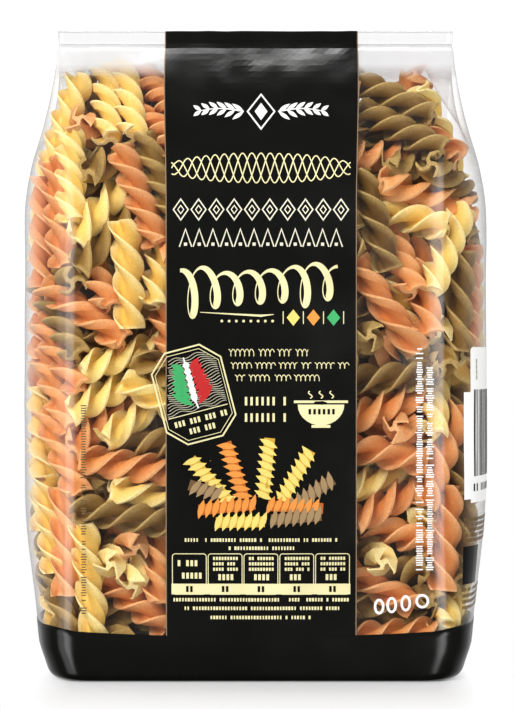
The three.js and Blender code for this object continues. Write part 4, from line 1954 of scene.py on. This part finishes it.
@dataclass
class SideLabel:
    """The printed side: a white field with dark bars, and rows of marks round a black block."""

    rows: StampRows
    left: float = 2.2
    step_left: float = 5.6
    right: float = 32.0
    low: float = 57.1
    shoulder: float = 92.8
    high: float = 107.3
    corner: float = 1.4
    step: float = 1.5

    def field(self) -> Layout:
        """The white field with a stepped corner."""
        layout = Layout()
        layout.ink = Ink.WHITE
        corner_x, corner_z = self.step_left + self.corner, self.high - self.corner
        layout.patch(self.left, self.step_left, self.low + 1.2, self.shoulder, self.step)
        layout.patch(self.step_left, self.right, self.low, corner_z, self.step)
        layout.patch(corner_x, self.right, corner_z, self.high, self.step)
        arc = arc_path(corner_x, corner_z, self.corner, self.corner, 180.0, 90.0, 5)
        layout.polygon([(self.step_left, corner_z), *arc, (corner_x, corner_z)])
        return layout

    def marks(self) -> Layout:
        """Dark bars of uneven widths on the field, small marks, and brown rows round a block."""
        layout = Layout()
        layout.ink, layout.level = Ink.BLACK, 0.06
        rng = np.random.default_rng(71)
        x = self.step_left + 1.9
        while x < self.right - 2.0:
            wide = rng.choice((0.3, 0.3, 0.5, 0.8))
            layout.patch(x, x + wide, 65.6, 93.6)
            x += wide + rng.choice((0.4, 0.7, 1.0))
        layout.ink = Ink.GREY
        fill, left, right = self.rows.fill, self.step_left, self.right
        mark = box_stamp(0.8, 1.5)
        fill(layout, mark, left + 2.6, left + 4.6, 95.0, 103.6, 1.3, rows=5, keep=0.9, seed=75)
        layout.ink = Ink.BLACK
        fill(layout, box_stamp(0.9, 2.4), left, right - 1.5, 60.4, 63.6, 2.1, keep=0.9, seed=72)
        layout.level = 0.0
        layout.patch(self.left, self.left + 11.0, 31.0, 43.2, self.step)
        layout.ink = Ink.BROWN
        small = box_stamp(0.55, 1.1)
        for low, high, rows, seed in ((44.2, 52.6, 5, 73), (22.6, 30.2, 4, 74)):
            uneven = {"rows": rows, "keep": 0.85, "seed": seed}
            fill(layout, small, self.left, right, low, high, 0.85, **uneven)
        return layout

    def build(self, groups: Groups, film: FilmSurface) -> None:
        """Press the field and its marks on the right side and dress them."""
        white = self.field().press("side_label", film.side, Layer.FILM)
        # The white field gets a painted glow, a steady emission that stands in for light coming through from
        # behind.
        finish_piece(white, PrintFinish("side label", painted_glow=0.2).material(groups))
        dark = self.marks().press("side_marks", film.side, Layer.OVER_FIELD)
        finish_piece(dark, PrintFinish("side marks").material(groups))


@dataclass(frozen=True)
class MirroredBox:
    """A soft box that gloss mirrors: its direction, its edge's fade in degrees and its brightness."""

    aim: Colour
    squash: Colour
    edge: float
    core: float
    strength: float

    def brightness(self, weaver: NodeWeaver, way: NodeSocket) -> NodeSocket:
        """Its brightness in the world, by direction."""
        flat = weaver.vector("NORMALIZE", weaver.vector("MULTIPLY", way, self.squash))
        near = weaver.vector("DOT_PRODUCT", flat, self.aim, result="Value")
        edge, core = math.cos(math.radians(self.edge)), math.cos(math.radians(self.core))
        values = {"Value": near, "From Min": edge, "From Max": core, "To Max": self.strength}
        soft = weaver.add("ShaderNodeMapRange", values, interpolation_type="SMOOTHSTEP")
        return soft.outputs["Result"]


@dataclass
class Studio:
    """A plain white floor, soft light and a camera straight in front of the packet."""

    camera_distance: float = 633.5
    camera_height: float = 104.9
    camera_x: float = 0.5
    picture_height: float = 224.9
    picture_distance: float = 600.0
    foot_half_width: float = 56.0
    foot_half_depth: float = 28.5
    shadow_start: float = 13.0
    shadow_end: float = 54.0
    shadow_squash: float = 4.0
    floor_reach: float = 4000.0
    floor_shade: float = 0.75
    ambient: float = 0.72
    backdrop: float = 1.12
    key_place: Colour = (-0.72, -1.08, 1.02)
    key_target: Colour = (0.0, 0.0, 0.10)
    key_size: tuple[float, float] = (0.9, 0.7)
    key_strength: float = 11.3
    boxes: tuple[MirroredBox, ...] = (
        MirroredBox((-0.69, -0.72, 0.0), (1.0, 1.0, 0.22), 24.0, 8.0, 1.4),
        MirroredBox((-0.53, -0.85, 0.0), (1.0, 1.0, 0.22), 11.0, 4.0, 2.2),
        MirroredBox((0.46, -0.888, 0.0), (1.0, 1.0, 0.22), 13.0, 4.0, 3.7),
        MirroredBox((0.0, 0.19, 0.982), (0.4, 1.0, 1.0), 13.0, 2.0, 10.5),
    )

    def camera(self) -> None:
        """Set up the camera at the photograph's viewing angle."""
        data = bpy.data.cameras.new("camera")
        data.lens = data.sensor_width * self.picture_distance / self.picture_height
        data.clip_start = 0.01
        data.clip_end = 20.0
        camera = bpy.data.objects.new("camera", data)
        camera.location = (self.camera_x * MM, -self.camera_distance * MM, self.camera_height * MM)
        camera.rotation_euler = (math.radians(90), 0.0, 0.0)
        bpy.context.scene.collection.objects.link(camera)
        bpy.context.scene.camera = camera

    def floor(self) -> None:
        """A wide white floor with a painted shade round the foot: matt near the foot, where it also takes
        real shade, it turns into a white glow with distance from the footprint. Gloss sees through it to the
        world.
        """
        points, faces = box_stamp(2 * self.floor_reach, 2 * self.floor_reach)
        floor = make_object("floor", np.array([(x, y, 0.0) for x, y in points]), faces)
        material, weaver = new_material("white floor")
        place = weaver.add("ShaderNodeTexCoord").outputs["Object"]
        foot = (self.foot_half_width * MM, self.foot_half_depth * MM, 0.0)
        beyond = weaver.vector("SUBTRACT", weaver.vector("ABSOLUTE", place), foot)
        beyond = weaver.vector("MAXIMUM", beyond, (0.0, 0.0, 0.0))
        beyond = weaver.vector("MULTIPLY", beyond, (self.shadow_squash, 1.0, 1.0))
        reach = weaver.vector("LENGTH", beyond, result="Value")
        # Painted shade: the matt floor gives way to a white glow by distance from the footprint, so that
        # distance sets the shade round the foot.
        far = weaver.spread(reach, self.shadow_start * MM, self.shadow_end * MM, 0.0, 1.0)
        shade = (self.floor_shade, self.floor_shade, self.floor_shade, 1.0)
        matt = weaver.add("ShaderNodeBsdfDiffuse", {"Color": shade, "Roughness": 0.0})
        painted_glow = weaver.add("ShaderNodeEmission", {"Color": WHITE, "Strength": 1.0})
        lit = weaver.cover(far, matt, painted_glow)
        open_floor = weaver.add("ShaderNodeBsdfTransparent", {"Color": WHITE})
        ray = weaver.add("ShaderNodeLightPath").outputs["Is Glossy Ray"]
        skin = weaver.cover(ray, lit, open_floor)
        weaver.add("ShaderNodeOutputMaterial", {"Surface": skin})
        floor.data.materials.append(material)

    def key_light(self) -> None:
        """Add a soft rectangular light that gloss doesn't mirror, placed in metres."""
        data = bpy.data.lights.new("front key", "AREA")
        data.shape = "RECTANGLE"
        wide, tall = self.key_size
        data.size, data.size_y = wide, tall
        data.energy = self.key_strength * math.pi * wide * tall
        light = bpy.data.objects.new("front key", data)
        light.location = self.key_place
        way = Vector(self.key_target) - Vector(self.key_place)
        light.rotation_euler = way.to_track_quat("-Z", "Y").to_euler()
        light.visible_glossy = False
        bpy.context.scene.collection.objects.link(light)

    def world(self) -> None:
        """White to the camera, an even light on matt surfaces, and soft boxes in gloss."""
        world = bpy.data.worlds.new("studio")
        world.use_nodes = True
        world.node_tree.nodes.clear()
        bpy.context.scene.world = world
        weaver = NodeWeaver(world.node_tree)
        way = weaver.add("ShaderNodeTexCoord").outputs["Generated"]
        parts = weaver.add("ShaderNodeSeparateXYZ", {0: way}).outputs
        gloss = weaver.spread(parts["Y"], 0.0, 0.8, 0.015, 0.45)
        for box in self.boxes:
            gloss = weaver.math("ADD", gloss, box.brightness(weaver, way))
        gloss = weaver.math("MULTIPLY", gloss, weaver.spread(parts["Z"], -0.85, -0.6, 0.0, 1.0))
        rays = weaver.add("ShaderNodeLightPath").outputs
        levels = {"Factor": rays["Is Glossy Ray"], "A": self.ambient, "B": gloss}
        level = weaver.add("ShaderNodeMix", levels, data_type="FLOAT")
        level = live_socket(level.outputs, "Result")
        felt = weaver.add("ShaderNodeBackground", {"Color": WHITE, "Strength": level})
        seen = weaver.add("ShaderNodeBackground", {"Color": WHITE, "Strength": self.backdrop})
        both = weaver.cover(rays["Is Camera Ray"], felt, seen)
        weaver.add("ShaderNodeOutputWorld", {"Surface": both})

    def build(self) -> None:
        """Set the stage."""
        self.camera()
        self.floor()
        self.world()
        self.key_light()
        bpy.context.scene.view_settings.view_transform = "Standard"


def main() -> None:
    """Build the packet round the frame."""
    logging.basicConfig(level=logging.INFO, format="%(message)s")
    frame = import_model()
    log.info("solids in the frame: %d", len(frame["nodes"]))
    groups = Groups()
    film = FilmSurface()
    Studio().build()
    PastaFill().build(groups)
    bag = FilmBag(film)
    bag.build(groups)
    black = BlackPrint(film)
    black.build(groups, bag.ring_places())
    rows = StampRows()
    FrontPrint(rows).build(groups, black.front_face)
    FilmPrint(rows).build(groups, film)
    SideLabel(rows).build(groups, film)
    bpy.context.view_layer.update()


if __name__ == "__main__":
    main()
